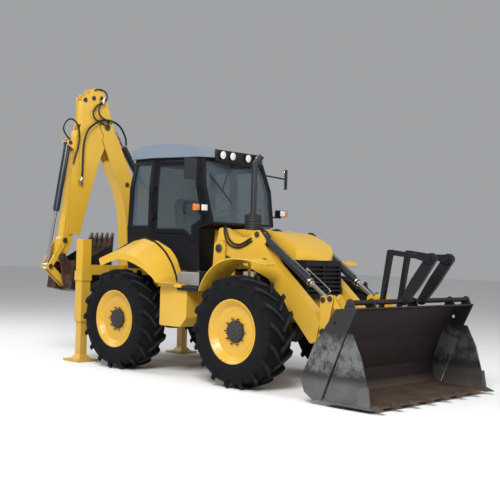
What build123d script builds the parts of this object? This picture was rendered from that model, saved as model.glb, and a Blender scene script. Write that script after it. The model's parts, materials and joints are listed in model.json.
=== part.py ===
"""A backhoe loader with four equal steered wheels, in millimetres, +Z up.

+X points forwards and +Y to the machine's left.  The pieces are modelled about the ground point
under the middle of the front axle, and moved at the end so that the origin is the middle of the
underside of the whole machine.  The backhoe is parked folded and slewed to the right.
"""
from build123d import *
import os
from math import cos, radians, sin, tan

# ---------------------------------------------------------------- driving dimensions
WHEELBASE = 2200.0
HUB_Y = 940.0                 # middle of each wheel from the centre plane
TYRE_RADIUS = 668.0           # out to the tips of the lugs
TYRE_WIDTH = 440.0
LUG_HEIGHT = 38.0
LUG_PAIRS = 17
RIM_RADIUS = 384.0            # outer edge of the flange
RIM_WALL = 9.0
DISC_INSET = 80.0             # from the rim's outer flange in to the disc
DISC_PLATE = 14.0
PLANET_RADIUS = 125.0         # planetary hub in the middle of the disc
STUD_CIRCLE = 155.0
STUD_COUNT = 10
TYRE_SIDES = 34               # flats round a tyre, two to each pair of lugs
RIM_SIDES = 36
KINGPIN_Y = 740.0
KINGPIN_RADIUS = 40.0
KNUCKLE_RADIUS = 135.0

RAIL_Y = 320.0                # middle of a frame rail
RAIL_WIDTH = 80.0
RAIL_TOP = 1060.0
RAIL_BOTTOM = 800.0           # over the axles
RAIL_BELLY = 640.0            # between and behind them
FRAME_FRONT = 420.0

ARM_Y = 460.0                 # middle plane of each loader arm
ARM_WIDTH = 140.0
TONGUE_WIDTH = 80.0           # the arm's front end, between the levers
EAR = 14.0                    # thickness of ears and lever plates
GAP = 6.0                     # side clearance between plates that pass each other
FIT = 0.3                     # running clearance round a pin or rod and at a seat
SKIN_FIT = 0.8                # at a seat on the cab's slightly twisted walls

BUCKET_WIDTH = 2400.0
BUCKET_PLATE = 16.0
TOOTH_COUNT = 8
TOOTH_LENGTH = 190.0

CAB_WALL = 45.0
GLASS = 6.0
DOOR_GAP = 12.0
HOOD_HALF = 345.0
HOOD_REAR = -300.0
HOOD_LIP = 1530.0                # underside of the bonnet at the front
FENDER_WALL = 10.0
REAR_FENDER_Y = 1150.0
FENDER_FOOT = 1185.0             # lower front edge of the rear mudguards
LEG_Y = 975.0                 # stabiliser legs
LEG_BOX = 150.0
LEG_WALL = 14.0
LEG_TOP = 1730.0
LEG_BOX_BOTTOM = 560.0
FOOT_SIZE = 350.0
FOOT_PLATE = 30.0
LEG_TRAVEL = 420.0
LEG_LID = 15.0

POST_Y = 450.0
EAR_REACH = 105.0             # half width of the carriage's ears
HOE_DIPPER_HALF = 85.0
HOE_BUCKET_WIDTH = 600.0
HOE_PLATE = 12.0

FRONT_X = 0.0
REAR_X = -WHEELBASE
HUB_Z = TYRE_RADIUS
LEG_X = REAR_X - 920.0        # stabiliser legs
SLIDE_FACE = LEG_X - 105.0    # rear face of the side-shift beams
RAIL_REAR = LEG_X + 100.0
POST_X = SLIDE_FACE - 395.0   # slewing axis of the backhoe
FLANGE_Y = 191.0              # rim flange from the wheel's middle plane
ARM_HALF = ARM_WIDTH / 2
TONGUE_HALF = TONGUE_WIDTH / 2
RAIL_INNER = RAIL_Y - RAIL_WIDTH / 2
RAIL_OUTER = RAIL_Y + RAIL_WIDTH / 2


# ---------------------------------------------------------------- drawing planes
class Side:
    """A vertical drawing plane: (u, z) on it, and w across it."""

    def __init__(self, origin, outward, across):
        self.origin = Vector(*origin)
        self.u = Vector(*outward)
        self.w = Vector(*across)

    def point(self, u, z, w=0.0):
        return self.origin + self.u * u + Vector(0, 0, z) + self.w * w

    def slab(self, sketch, w0, w1):
        """The sketch, drawn in (u, z), as a plate from w0 to w1."""
        low, high = sorted((w0, w1))
        plane = Plane(origin=self.point(0, 0, low), x_dir=self.u, z_dir=self.u.cross(Vector(0, 0, 1)))
        return extrude(plane * sketch, amount=high - low, dir=self.w)

    def disc(self, pin, radius, w0, w1):
        return self.slab(Pos(*pin) * Circle(radius), w0, w1)

    def bar(self, start, end, radius, w=0.0):
        return tube(self.point(*start, w), self.point(*end, w), radius)


LOADER = Side((0, 0, 0), (1, 0, 0), (0, 1, 0))
HOE = Side((POST_X, POST_Y, 0), (0, -1, 0), (1, 0, 0))


# ---------------------------------------------------------------- small helpers
def poly(*points):
    return make_face(Polyline(*points, close=True))


def hull(*circles):
    """The taut outline round circles given as (u, z, radius)."""
    edges = [(Pos(u, z) * Circle(r)).edge() for u, z, r in circles]
    return make_hull(edges)


def box(x0, x1, y0, y1, z0, z1):
    return Pos((x0 + x1) / 2, (y0 + y1) / 2, (z0 + z1) / 2) * Box(x1 - x0, y1 - y0, z1 - z0)


def tube(start, end, radius):
    start, end = Vector(start), Vector(end)
    return extrude(Plane(origin=start, z_dir=end - start) * Circle(radius), amount=(end - start).length)


def pipe(start, end, radius, wall):
    return tube(start, end, radius) - tube(start, end, radius - wall)


def prism_stack(sides, levels):
    """Flat-sided rings about Y: (y, radius to the corners) at each level, joined by flat faces."""
    faces = [Pos(0, y, 0) * Rot(90, 0, 0) * RegularPolygon(radius, sides) for y, radius in levels]
    return loft(faces, ruled=True)


def mirrored(shape):
    """The same piece on the other side of the centre plane."""
    return mirror(shape, about=Plane.XZ)


def both(shape):
    return group(shape, mirrored(shape))


def group(*shapes):
    return Compound([solid for shape in shapes for solid in shape.solids()])


def along(start, end, distance):
    """The point at a distance from start towards end."""
    span = Vector(*end) - Vector(*start)
    at = Vector(*start) + span.normalized() * distance
    return (at.X, at.Y)


# ---------------------------------------------------------------- hydraulic rams
def ram(side, base, eye, w, barrel, rod_radius, barrel_end, reach, eye_half, eye_radius, pin):
    """A ram from base to eye: (barrel, rod), whose rod still comes out by reach.  The eyes have no pins."""
    hole = pin + FIT
    floor = eye_radius + 20.0
    length = (Vector(*eye) - Vector(*base)).length
    body = side.bar(along(base, eye, eye_radius * 0.6), along(base, eye, barrel_end), barrel, w)
    gland = (along(base, eye, barrel_end - 45), along(base, eye, barrel_end + GLAND))
    body += side.bar(*gland, barrel * 0.86, w)
    body += side.disc(base, eye_radius, w - eye_half, w + eye_half)
    body -= side.bar(along(base, eye, floor), along(base, eye, barrel_end + GLAND + 10), rod_radius + 1.0, w)
    body -= side.disc(base, hole, w - barrel - eye_half, w + barrel + eye_half)
    inside = barrel_end - ROD_HOLD - reach
    rod = side.bar(along(base, eye, inside), along(base, eye, length - eye_radius * 0.5), rod_radius, w)
    rod += side.disc(eye, eye_radius, w - eye_half, w + eye_half)
    rod -= side.disc(eye, hole, w - barrel - eye_half, w + barrel + eye_half)
    return body, rod


GLAND = 28.0                  # the end cap beyond a barrel
ROD_HOLD = 45.0               # what stays inside a barrel at full reach


# ================================================================ wheels
LUG_TURN = -17.0              # how far a lug's shoulder end trails round the tyre
LUG_HALF = 27.0
LUG_SHOULDER_DROP = 18.0      # a lug is lower at the shoulder than in the middle
LUG_ROOT = 40.0
RUBBER_BEAD = 28.0            # the bead sits this far inside the rim's flange edge


def lug(side_sign, angle):
    """One straight tread bar from the middle of the tread out to the shoulder."""
    top = TYRE_RADIUS - 4
    root = TYRE_RADIUS - LUG_HEIGHT - LUG_ROOT
    outline = make_face(Polyline((-LUG_HALF - 12, root), (LUG_HALF + 12, root), (LUG_HALF, top),
                                 (-LUG_HALF, top), close=True))
    end = TYRE_RADIUS - LUG_SHOULDER_DROP
    turn = radians(LUG_TURN)
    run = Vector(end * sin(turn), side_sign * (TYRE_WIDTH / 2 - 30), end * cos(turn) - top)
    tilted = Pos(0, top) * Rot(0, 0, -LUG_TURN / 2) * Pos(0, -top) * outline
    start = Pos(0, side_sign * 14, 0) * (Plane.XZ * tilted)
    return Rot(0, angle, 0) * extrude(start, amount=run.length, dir=run)


def tyre():
    """An open-centre tyre with two rows of slanting lugs, about the Y axis."""
    half = TYRE_WIDTH / 2
    crown = TYRE_RADIUS - LUG_HEIGHT
    bead, seat = RIM_RADIUS + 8, RIM_RADIUS - RUBBER_BEAD
    flat = 1 / cos(radians(180 / TYRE_SIDES))
    tread = [(0, crown), (half - 30, crown - 22), (half, crown - 120)]
    carcass = prism_stack(TYRE_SIDES, [(-y, r) for y, r in reversed(tread[1:])] + tread)
    hole = [(half - 54, seat * flat), (half - 34, bead * flat), (half + 1, (crown - 118) * flat)]
    carcass -= prism_stack(TYRE_SIDES, [(-y, r) for y, r in reversed(hole)] + hole)
    step = 360.0 / LUG_PAIRS
    lugs = [lug(1, i * step) for i in range(LUG_PAIRS)]
    lugs += [lug(-1, (i + 0.5) * step) for i in range(LUG_PAIRS)]
    return carcass.fuse(*lugs)


def rim():
    """A deep-dished rim with its planetary hub, about the Y axis, dish towards +Y."""
    disc = FLANGE_Y - DISC_INSET
    seat = RIM_RADIUS - RUBBER_BEAD - FIT
    inside = seat - RIM_WALL
    edge = [(FLANGE_Y - 22, seat), (FLANGE_Y - 8, RIM_RADIUS - 8), (FLANGE_Y, RIM_RADIUS)]
    body = prism_stack(RIM_SIDES, [(-y, r) for y, r in reversed(edge)] + edge)
    dish = [(disc, 250), (disc + 10, 300), (disc + 40, seat - 26), (FLANGE_Y - 20, inside),
            (FLANGE_Y + 1, RIM_RADIUS - 13)]
    body -= prism_stack(RIM_SIDES, dish)
    back = disc - DISC_PLATE
    hollow = [(-FLANGE_Y - 1, RIM_RADIUS - 13), (-FLANGE_Y + 20, inside), (-60, seat - 30),
              (disc - 30, seat - 30), (back, 250)]
    body -= prism_stack(RIM_SIDES, hollow)
    body += tube((0, back - HUB_PAD, 0), (0, disc + 30, 0), PLANET_RADIUS)
    body += prism_stack(RIM_SIDES, [(disc + 30, PLANET_RADIUS), (disc + 45, PLANET_RADIUS - 25)])
    for i in range(STUD_COUNT):
        nut = extrude(RegularPolygon(14, 6), amount=12, both=True)
        nut = Pos(STUD_CIRCLE, disc + 10, 0) * Rot(90, 0, 0) * nut
        body += Rot(0, 360.0 * i / STUD_COUNT, 0) * nut
    return body


HUB_PAD = 6.0                 # the hub's seat behind the disc


def knuckle():
    """Steering knuckle for a left wheel: final drive, king pins and the spindle face."""
    disc = HUB_Y + FLANGE_Y - DISC_INSET
    drum = tube((0, KINGPIN_Y - 90, 0), (0, disc - DISC_PLATE - HUB_PAD - FIT, 0), KNUCKLE_RADIUS)
    drum += tube((0, KINGPIN_Y + 95, 0), (0, disc - 60, 0), KNUCKLE_RADIUS + 40)
    pins = tube((0, KINGPIN_Y, -KNUCKLE_RADIUS - YOKE_PLATE), (0, KINGPIN_Y, KNUCKLE_RADIUS + YOKE_PLATE),
                KINGPIN_RADIUS)
    arm = box(-230, -60, KINGPIN_Y - 75, KINGPIN_Y - 35, -30, 30)
    return drum + pins + arm


YOKE_PLATE = 50.0             # thickness of the axle's king-pin lugs
YOKE_GAP = 5.0


def axle():
    """A drive axle: beam, differential housing and the king-pin yokes, about its own middle."""
    inner = KINGPIN_Y - 165
    beam = box(-75, 75, -inner, inner, -80, 80)
    housing = Pos(0, -60, 0) * Sphere(185) & box(-165, 185, -250, 130, -160, 70)
    beam += housing
    lug_low = KNUCKLE_RADIUS + YOKE_GAP
    for sign in (1, -1):
        y0, y1 = sorted((sign * inner, sign * (inner - 60)))
        beam += box(-70, 70, y0, y1, -lug_low - YOKE_PLATE, lug_low + YOKE_PLATE)
        for z in (lug_low, -lug_low - YOKE_PLATE):
            ya, yb = sorted((sign * (inner - 60), sign * KINGPIN_Y))
            beam += box(-70, 70, ya, yb, z, z + YOKE_PLATE)
            beam += Pos(0, sign * KINGPIN_Y, z + YOKE_PLATE / 2) * Cylinder(70, YOKE_PLATE)
            bore = Cylinder(KINGPIN_RADIUS + FIT, YOKE_PLATE + 2)
            beam -= Pos(0, sign * KINGPIN_Y, z + YOKE_PLATE / 2) * bore
    return beam


def front_fender():
    """The left front wheel's mudguard on its post, which the knuckle carries."""
    inner, outer = HUB_Y - TYRE_WIDTH / 2 + 5, HUB_Y + TYRE_WIDTH / 2
    low, top, tip = (-552, 1120), (-170, 1500), (300, 1468)
    centre_z = 975.0
    arc_out = ThreePointArc(low, top, tip)
    inner_of = [(p[0] * 0.985, centre_z + (p[1] - centre_z) * 0.975) for p in (tip, top, low)]
    arc_in = ThreePointArc(*inner_of)
    ends = [Line(arc_out @ 1, arc_in @ 0), Line(arc_in @ 1, arc_out @ 0)]
    guard = LOADER.slab(make_face(Curve() + [arc_out, ends[0], arc_in, ends[1]]), inner, outer)
    taper = Polyline((60, outer + 5), (400, outer + 5), (400, inner + 60), close=True)
    guard -= extrude(Plane.XY.offset(1200) * make_face(taper), amount=500)
    post_y = KINGPIN_Y - 70
    post = box(-175, -140, post_y, post_y + 22, HUB_Z + 50, 1485)
    foot = box(-175, -20, post_y, post_y + 22, HUB_Z + 40, HUB_Z + 110)
    shelf = box(-175, -140, post_y, inner + 60, 1470, 1503)
    return guard + post + foot + shelf


# ================================================================ chassis
def main_frame():
    rail = poly((RAIL_REAR, RAIL_BELLY), (REAR_X - 500, RAIL_BELLY), (REAR_X - 300, RAIL_BOTTOM),
                (REAR_X + 350, RAIL_BOTTOM), (REAR_X + 550, RAIL_BELLY), (-520, RAIL_BELLY),
                (-320, RAIL_BOTTOM), (FRAME_FRONT, RAIL_BOTTOM), (FRAME_FRONT, RAIL_TOP),
                (RAIL_REAR, RAIL_TOP))
    frame = LOADER.slab(rail, RAIL_INNER, RAIL_OUTER)
    frame += LOADER.slab(rail, -RAIL_OUTER, -RAIL_INNER)
    cross = (  # x0, x1, z0, z1 of each crossmember
        (FRAME_FRONT - 30, FRAME_FRONT, RAIL_BOTTOM, RAIL_TOP),
        (FRONT_X - 110, FRONT_X + 110, HUB_Z + 80 + FIT, 850.0),
        (-1700.0, -1600.0, 660.0, 760.0),
        (REAR_X - 110, REAR_X + 110, HUB_Z + 80 + FIT, 850.0),
        (RAIL_REAR, RAIL_REAR + 30, RAIL_BELLY, RAIL_TOP),
    )
    for x0, x1, z0, z1 in cross:
        frame += box(x0, x1, -RAIL_OUTER, RAIL_OUTER, z0, z1)
    for sign in (1, -1):
        for x in (-1300.0, -2250.0):
            y0, y1 = sorted((sign * RAIL_INNER, sign * RAIL_OUTER))
            frame += box(x - 60, x + 60, y0, y1, RAIL_TOP - 20, CAB_FLOOR - FIT)
    return frame + tower(1) + tower(-1)


LIFT_PIVOT = (-810.0, 1650.0)          # loader arm pivot
LIFT_BASE = (-640.0, 800.0)            # lift ram, lower pin
LIFT_EYE = (-50.0, 1500.0)             # lift ram, pin on the arm
TOWER_EAR = 22.0


def tower(sign):
    """Loader tower on one side: two ears for the arm's pivot and two for the lift ram."""
    outline = poly((-960, 860), (-600, 860), (-600, 960), (-700, 1150), (-715, 1600), (-700, 1650),
                   (-715, 1700), (-760, 1745), (-860, 1745), (-905, 1700), (-930, 1300))
    ears = None
    inner = ARM_Y - ARM_HALF - GAP
    outer = ARM_Y + ARM_HALF + GAP
    for w0, w1 in ((inner - TOWER_EAR, inner), (outer, outer + TOWER_EAR)):
        plate = LOADER.slab(outline, w0, w1)
        ears = plate if ears is None else ears + plate
    ears += box(-960, -700, RAIL_INNER, outer + TOWER_EAR, 860, 960)
    ears += box(-930, -760, inner - 2, outer + 2, 960, 1230)
    for w0, w1 in ((inner - TOWER_EAR, inner), (outer, outer + TOWER_EAR)):
        ears += LOADER.slab(hull((*LIFT_BASE, 55), (-680, 900, 60)), w0, w1)
    ears += LOADER.disc(LIFT_PIVOT, PIN, outer + TOWER_EAR - 1, outer + TOWER_EAR + 14)
    ears += LOADER.disc(LIFT_PIVOT, PIN, inner - 2, outer + 2)
    ears += LOADER.disc(LIFT_BASE, PIN_SMALL, inner - 2, outer + 2)
    return ears if sign > 0 else mirrored(ears)


PIN = 34.0
PIN_SMALL = 24.0


def engine_block():
    """Engine and gearbox as one block, on feet that reach the frame rails."""
    block = box(-430, 180, -235, 235, 870, 1520)
    block += box(-1380, -430, -200, 200, 700, 1040)
    foot = RAIL_INNER - FIT
    for x in (-1200.0, -200.0):
        block += box(x - 45, x + 45, -foot, foot, 930, 990)
    return block


def nose_grille():
    """Black nose under the bonnet: side panels, radiator shroud and louvred front."""
    front, rear, half = 455.0, HOOD_REAR + 20, HOOD_HALF - 3
    lip = HOOD_LIP - FIT
    outline = poly((rear, RAIL_TOP + FIT), (front + 25, RAIL_TOP + FIT), (front, lip), (rear, lip))
    shell = LOADER.slab(outline, -half, half)
    hollow = poly((rear - 10, RAIL_TOP - 10), (215, RAIL_TOP - 10), (215, 1600), (rear - 10, 1600))
    shell -= LOADER.slab(hollow, -half + 12, half - 12)
    for i in range(7):
        z = 1115 + 52 * i
        slot = poly((front - 30, z), (front + 60, z + 14), (front + 60, z + 40), (front - 30, z + 26))
        for y0, y1 in ((-half + 30, -12), (12, half - 30)):
            shell -= LOADER.slab(slot, y0, y1)
    return shell


HOOD_HINGE = (HOOD_REAR, 1890.0)
HOOD_SKIN = 8.0
HOOD_HINGE_Y = 200.0          # middle of each of the two hinges
HOOD_KNUCKLE_HALF = 30.0
HOOD_PIN = 5.0
HINGE_LUG = 10.0              # outer radius of the hinges' round parts


def hood_form(inset):
    """The solid bonnet, or the space inside it when inset."""
    half = HOOD_HALF - inset
    with BuildSketch() as outline:
        with BuildLine():
            top = ThreePointArc((HOOD_REAR + 6, 1885), (120, 1800), (440, 1570))
            lip = Line(top @ 1, (468, HOOD_LIP))
            side_low = Line(lip @ 1, (HOOD_REAR + 6, HOOD_LIP))
            Line(side_low @ 1, top @ 0)
        make_face()
    form = Pos(-inset, 0, -inset) * LOADER.slab(outline.sketch, -HOOD_HALF, HOOD_HALF)
    plan = make_face(Curve() + [
        Line((-400, -half), (300, -half)), ThreePointArc((300, -half), (470 - inset, 0), (300, half)),
        Line((300, half), (-400, half)), Line((-400, half), (-400, -half))])
    return form & extrude(Plane.XY.offset(1300) * plan, amount=700)


def hinge_spans():
    """Where the bonnet's hinges lie across the machine: (knuckle, the two lugs beside it) each."""
    spans = []
    for middle in (HOOD_HINGE_Y, -HOOD_HINGE_Y):
        k = HOOD_KNUCKLE_HALF
        lugs = ((middle - k - 20, middle - k - 2), (middle + k + 2, middle + k + 20))
        spans.append(((middle - k, middle + k), lugs))
    return spans


def hood():
    """The bonnet: a shell open below, hinged at its rear edge."""
    shell = hood_form(0) - hood_form(HOOD_SKIN)
    x, z = HOOD_HINGE
    for (k0, k1), lugs in hinge_spans():
        shell += box(x, x + 50, k0, k1, z - 18, z)
        shell += LOADER.disc(HOOD_HINGE, HINGE_LUG, k0, k1)
        shell -= LOADER.disc(HOOD_HINGE, HOOD_PIN + FIT, k0 - 1, k1 + 1)
        for w0, w1 in lugs:
            shell -= LOADER.disc(HOOD_HINGE, HINGE_LUG + 3, w0 - 2, w1 + 2)
    return shell


def rear_cowl():
    """Fixed cowl between the bonnet and the cab, with the dash bulkhead."""
    rear = CAB_NOSE + FIT
    top = poly((rear, 1380), (HOOD_REAR, 1400), (HOOD_REAR, 1880), (-600, COWL_TOP), (rear, 1890))
    body = LOADER.slab(top, -HOOD_HALF, HOOD_HALF)
    inner = poly((CAB_NOSE - 20, 1300), (HOOD_REAR + 40, 1300), (HOOD_REAR + 40, 1868), (-600, 1888),
                 (CAB_NOSE - 20, 1878))
    body -= LOADER.slab(inner, -HOOD_HALF + 10, HOOD_HALF - 10)
    x, z = HOOD_HINGE
    for (k0, k1), lugs in hinge_spans():
        body -= LOADER.disc(HOOD_HINGE, HINGE_LUG + 3, k0 - 2, k1 + 2)
        for w0, w1 in lugs:
            body += LOADER.disc(HOOD_HINGE, HINGE_LUG, w0, w1)
            body += box(x - 40, x, w0, w1, z - 22, z)
        body += LOADER.disc(HOOD_HINGE, HOOD_PIN, k0 - 3, k1 + 3)
    return body


CAB_NOSE = -1120.0
COWL_TOP = 1900.0
STACK = (-520.0, -250.0)


def exhaust_stack():
    x, y = STACK
    muffler = Pos(x, y, COWL_TOP + FIT + 95) * Cylinder(105, 190)
    pipe_up = pipe((x, y, 2085), (x, y, 2750), 38, 4)
    elbow = pipe((x, y, 2735), (x + 75, y + 45, 2850), 40, 4)
    elbow -= tube((x, y, 2600), (x, y, 2749), 38)
    return muffler + Pos(x, y, 2093) * Cylinder(60, 20) + pipe_up + elbow


def side_tanks():
    """Fuel tank on the right, battery box on the left, each with the step on top."""
    y0, y1 = 590.0, 1020.0
    rear = REAR_X + 800
    outline = poly((rear, 640), (rear + 390, 640), (rear + 500, 760), (rear + 500, 1140), (rear, 1140))
    tank = LOADER.slab(fillet(outline.vertices(), 25), y0, y1)
    tank += box(-1390, -960, 820, 1075, 1140, FENDER_FOOT - FIT)
    for x in (-1350.0, -1050.0):
        tank += box(x - 30, x + 30, RAIL_OUTER + FIT, y0, 880, 960)
    return both(tank)


# ================================================================ cab
CAB_FLOOR = 1345.0
CAB_TOP = 2840.0
CAB_LEVELS = (  # z, front corner (x, y), post behind the door (x, y), rear corner (x, y)
    (CAB_FLOOR, (CAB_NOSE, 600), (-1900, 780), (-2360, 780)),
    (1905.0, (CAB_NOSE, 640), (-1900, 800), (-2380, 800)),
    (1965.0, (-925, 605), (-1900, 800), (-2370, 800)),
    (2460.0, (-1035, 655), (-1890, 800), (-2345, 800)),
    (CAB_TOP, (-1140, 590), (-1880, 765), (-2300, 745)),
)


def cab_solid(inset, low=0.0, high=0.0):
    """The cab's outer form, or its inside when inset: ruled between the levels."""
    body = None
    levels = [list(level) for level in CAB_LEVELS]
    levels[0][0] += low
    levels[-1][0] += high
    faces = []
    for z, front, post, rear in levels:
        half = [(front[0] - inset, front[1] - inset), (post[0], post[1] - inset),
                (rear[0] + inset, rear[1] - inset)]
        full = half + [(x, -y) for x, y in reversed(half)]
        faces.append(Plane.XY.offset(z) * poly(*full))
    for lower, upper in zip(faces, faces[1:]):
        piece = loft([lower, upper], ruled=True)
        body = piece if body is None else body + piece
    return body


DOOR_OUTLINE = ((-1850, 1835), (-1380, 1835), (-1190, 1700), (-1190, 1900), (-1030, 1990), (-1105, 2460),
                (-1205, 2790), (-1840, 2790))
DOOR_WINDOW = ((-1800, 1890), (-1365, 1890), (-1240, 1800), (-1240, 1935), (-1085, 2020), (-1155, 2450),
               (-1240, 2740), (-1795, 2740))
DOOR_LEAF = 30.0
DOOR_HINGE = (-1858.0, 815.0)          # hinge line of the left door
DOOR_HINGE_LEVELS = (2060.0, 2420.0)
DOOR_PIN = 8.0
KNUCKLE_LENGTH = 60.0
QUARTER_WINDOW = ((-2300, 1930), (-1945, 1930), (-1935, 2760), (-2250, 2760))
SCREEN = ((-555, 1990), (555, 1990), (600, 2460), (535, 2800), (-535, 2800), (-600, 2460))
BACK_WINDOW = ((-690, 1700), (690, 1700), (690, 2780), (-690, 2780))


def grown(points, amount):
    return offset(poly(*points), amount=amount, kind=Kind.INTERSECTION)


def wall_band(sign):
    """The span across the machine that holds one side wall of the cab."""
    return sorted((sign * 500, sign * 900))


def cab_frame():
    shell = cab_solid(0) - cab_solid(CAB_WALL, low=60, high=10)
    for sign in (1, -1):
        w0, w1 = wall_band(sign)
        shell -= LOADER.slab(grown(DOOR_OUTLINE, DOOR_GAP), w0, w1)
        shell -= LOADER.slab(poly(*QUARTER_WINDOW), w0, w1)
    shell -= extrude(Plane.YZ.offset(-1240) * poly(*SCREEN), amount=500)
    shell -= extrude(Plane.YZ.offset(-2500) * poly(*BACK_WINDOW), amount=300)
    for sign in (1, -1):
        for z in DOOR_HINGE_LEVELS:
            shell += hinge_disc(sign, z, DOOR_PIN, KNUCKLE_LENGTH + 30)
            for end in (1, -1):
                lug_z = z + end * (KNUCKLE_LENGTH / 2 + 2 + 8)
                shell += hinge_disc(sign, lug_z, 14, 16)
                shell += hinge_block(sign, DOOR_HINGE[0] - 40, DOOR_HINGE[0] - 2, lug_z, 16)
    return shell


def window_skin(depth):
    """A sheet of glass that follows the cab's walls at a depth below their outside."""
    return cab_solid(depth) - cab_solid(depth + GLASS)


def cab_glass():
    skin = window_skin((CAB_WALL - GLASS) / 2)
    panes = [skin & extrude(Plane.YZ.offset(-1240) * grown(SCREEN, -FIT), amount=500),
             skin & extrude(Plane.YZ.offset(-2500) * grown(BACK_WINDOW, -FIT), amount=300)]
    quarter = grown(QUARTER_WINDOW, -FIT)
    panes += [skin & LOADER.slab(quarter, *wall_band(sign)) for sign in (1, -1)]
    return group(*panes)


def hinge_disc(sign, z, radius, height):
    return Pos(DOOR_HINGE[0], sign * DOOR_HINGE[1], z) * Cylinder(radius, height)


def hinge_block(sign, x0, x1, z, height):
    """The flat part of a door hinge, from inside the skin out to the hinge's far side."""
    y0, y1 = sorted((sign * (DOOR_HINGE[1] - 45), sign * (DOOR_HINGE[1] + 6)))
    return box(x0, x1, y0, y1, z - height / 2, z + height / 2)


def cab_door(sign):
    w0, w1 = wall_band(sign)
    leaf = cab_solid(2) - cab_solid(2 + DOOR_LEAF)
    leaf &= LOADER.slab(poly(*DOOR_OUTLINE), w0, w1)
    leaf -= LOADER.slab(poly(*DOOR_WINDOW), w0, w1)
    for z in DOOR_HINGE_LEVELS:
        leaf += hinge_block(sign, DOOR_HINGE[0] + 10, DOOR_HINGE[0] + 46, z, KNUCKLE_LENGTH)
        leaf += hinge_disc(sign, z, 14, KNUCKLE_LENGTH)
        leaf -= hinge_disc(sign, z, DOOR_PIN + FIT, KNUCKLE_LENGTH + 2)
    return leaf


def door_glass(sign):
    return window_skin(2 + (DOOR_LEAF - GLASS) / 2) & LOADER.slab(grown(DOOR_WINDOW, -FIT), *wall_band(sign))


def cab_roof():
    """The roof cap with its lamp visor over the windscreen."""
    z = CAB_TOP + FIT
    with BuildSketch() as outline:
        with BuildLine():
            a = Line((-2400, z), (-1060, z))
            b = Line(a @ 1, (-1045, z + 100))
            c = ThreePointArc(b @ 1, (-1560, 3015), (-2330, 2960))
            Line(c @ 1, a @ 0)
        make_face()
    cap = LOADER.slab(outline.sketch, -810, 810)
    plan = poly((-1045, -420), (-1045, 420), (-1170, 620), (-1880, 810), (-2320, 800), (-2400, 700),
                (-2400, -700), (-2320, -800), (-1880, -810), (-1170, -620))
    cap &= extrude(Plane.XY.offset(CAB_TOP - 50) * plan, amount=400)
    return cap


def cab_interior():
    """Seat on its plinth, steering column with wheel, and the side console."""
    floor = CAB_FLOOR + 60 + FIT
    plinth = box(-1960, -1640, -180, 180, floor, floor + 260)
    cushion = box(-2000, -1520, -250, 250, floor + 260, floor + 380)
    back = Pos(-2000, 0, floor + 640) * Rot(0, -10, 0) * Box(110, 470, 620)
    seat = plinth + cushion + back
    column = tube((-1250, 0, floor - 20), (-1275, 0, floor + 640), 60)
    column &= box(-1400, -1100, -90, 90, floor, 2200)
    ring = extrude(RegularPolygon(206, 24) - RegularPolygon(174, 24), amount=14, both=True)
    wheel = Plane(origin=(-1275, 0, floor + 700), z_dir=(-0.45, 0, 1)) * ring
    spoke = tube((-1270, 0, floor + 620), (-1278, 0, floor + 702), 30)
    bar = Plane(origin=(-1275, 0, floor + 700), z_dir=(-0.45, 0, 1)) * Box(30, 380, 14)
    console = box(-2050, -1500, -600, -400, floor, floor + 520)
    return group(seat, column + spoke + wheel + bar, console)


# rear mudguards: points as (distance ahead of the rear hub, height over it)
FENDER_INNER = ((-582, 866), (-237, 1013), (0, 1110), (200, 1156), (434, 1097), (632, 965),
                (761, 804), (845, 638), (885, 517))
FENDER_CREASE = ((-330, 800), (-120, 868), (0, 885), (249, 882), (413, 841), (587, 758),
                 (760, 647), (863, 543), (885, 517))
FENDER_LIP = ((885, 490), (774, 583), (603, 678), (430, 739), (266, 786), (76, 796), (-127, 753), (-296, 700),
              (-330, 760))
FENDER_INNER_Y = 700.0


def rear_fenders():
    """Sloping guards, high beside the cab and low over the tyre, with a lip and a foot on the tank."""
    def over_hub(points, drop=0.0):
        return [(REAR_X + u, HUB_Z + z - drop) for u, z in points]

    def strip(points, y):
        ring = over_hub(points) + over_hub(reversed(points), FENDER_WALL)
        return Plane.XZ.offset(-y) * make_face(Polyline(*ring, close=True))

    top = loft([strip(FENDER_INNER, FENDER_INNER_Y), strip(FENDER_CREASE, REAR_FENDER_Y)], ruled=True)
    lip = poly(*over_hub(FENDER_CREASE), *over_hub(FENDER_LIP))
    guard = top + LOADER.slab(lip, REAR_FENDER_Y - FENDER_WALL, REAR_FENDER_Y)
    end = REAR_X + FENDER_CREASE[-1][0]
    guard += box(end - 12, end + 255, 830, REAR_FENDER_Y, FENDER_FOOT - 12, FENDER_FOOT + 10)
    guard -= box(end - 400, end + 400, 600, REAR_FENDER_Y + 10, 1000, FENDER_FOOT)
    return both(guard - cab_solid(-SKIN_FIT))


def lamps_and_mirrors():
    """Roof work lamps, the lamp clusters on the cab's front corners, and the mirrors."""
    pieces = []
    roof, cab = cab_roof(), cab_solid(-SKIN_FIT)
    for y in (-335.0, -150.0, 150.0, 335.0):
        lamp = tube((-1075, y, CAB_TOP + 55), (-1018, y, CAB_TOP + 50), 46)
        pieces.append(lamp - roof)
    for sign in (1, -1):
        bracket = box(-985, -955, *sorted((sign * 560, sign * 790)), 2095, 2115) - cab
        light = box(-990, -900, *sorted((sign * 700, sign * 820)), 2115, 2205)
        amber = box(-985, -915, *sorted((sign * 825, sign * 885)), 2120, 2200)
        link = box(-980, -930, *sorted((sign * 815, sign * 830)), 2135, 2175)
        arm = tube((-1150, sign * 560, 2700), (-1010, sign * 900, 2660), 11)
        glass = Pos(-1005, sign * 925, 2650) * Rot(0, 0, sign * 44) * Box(40, 160, 270)
        pieces += [bracket + light + amber + link, (arm - cab) + glass]
    return group(*pieces)


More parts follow.
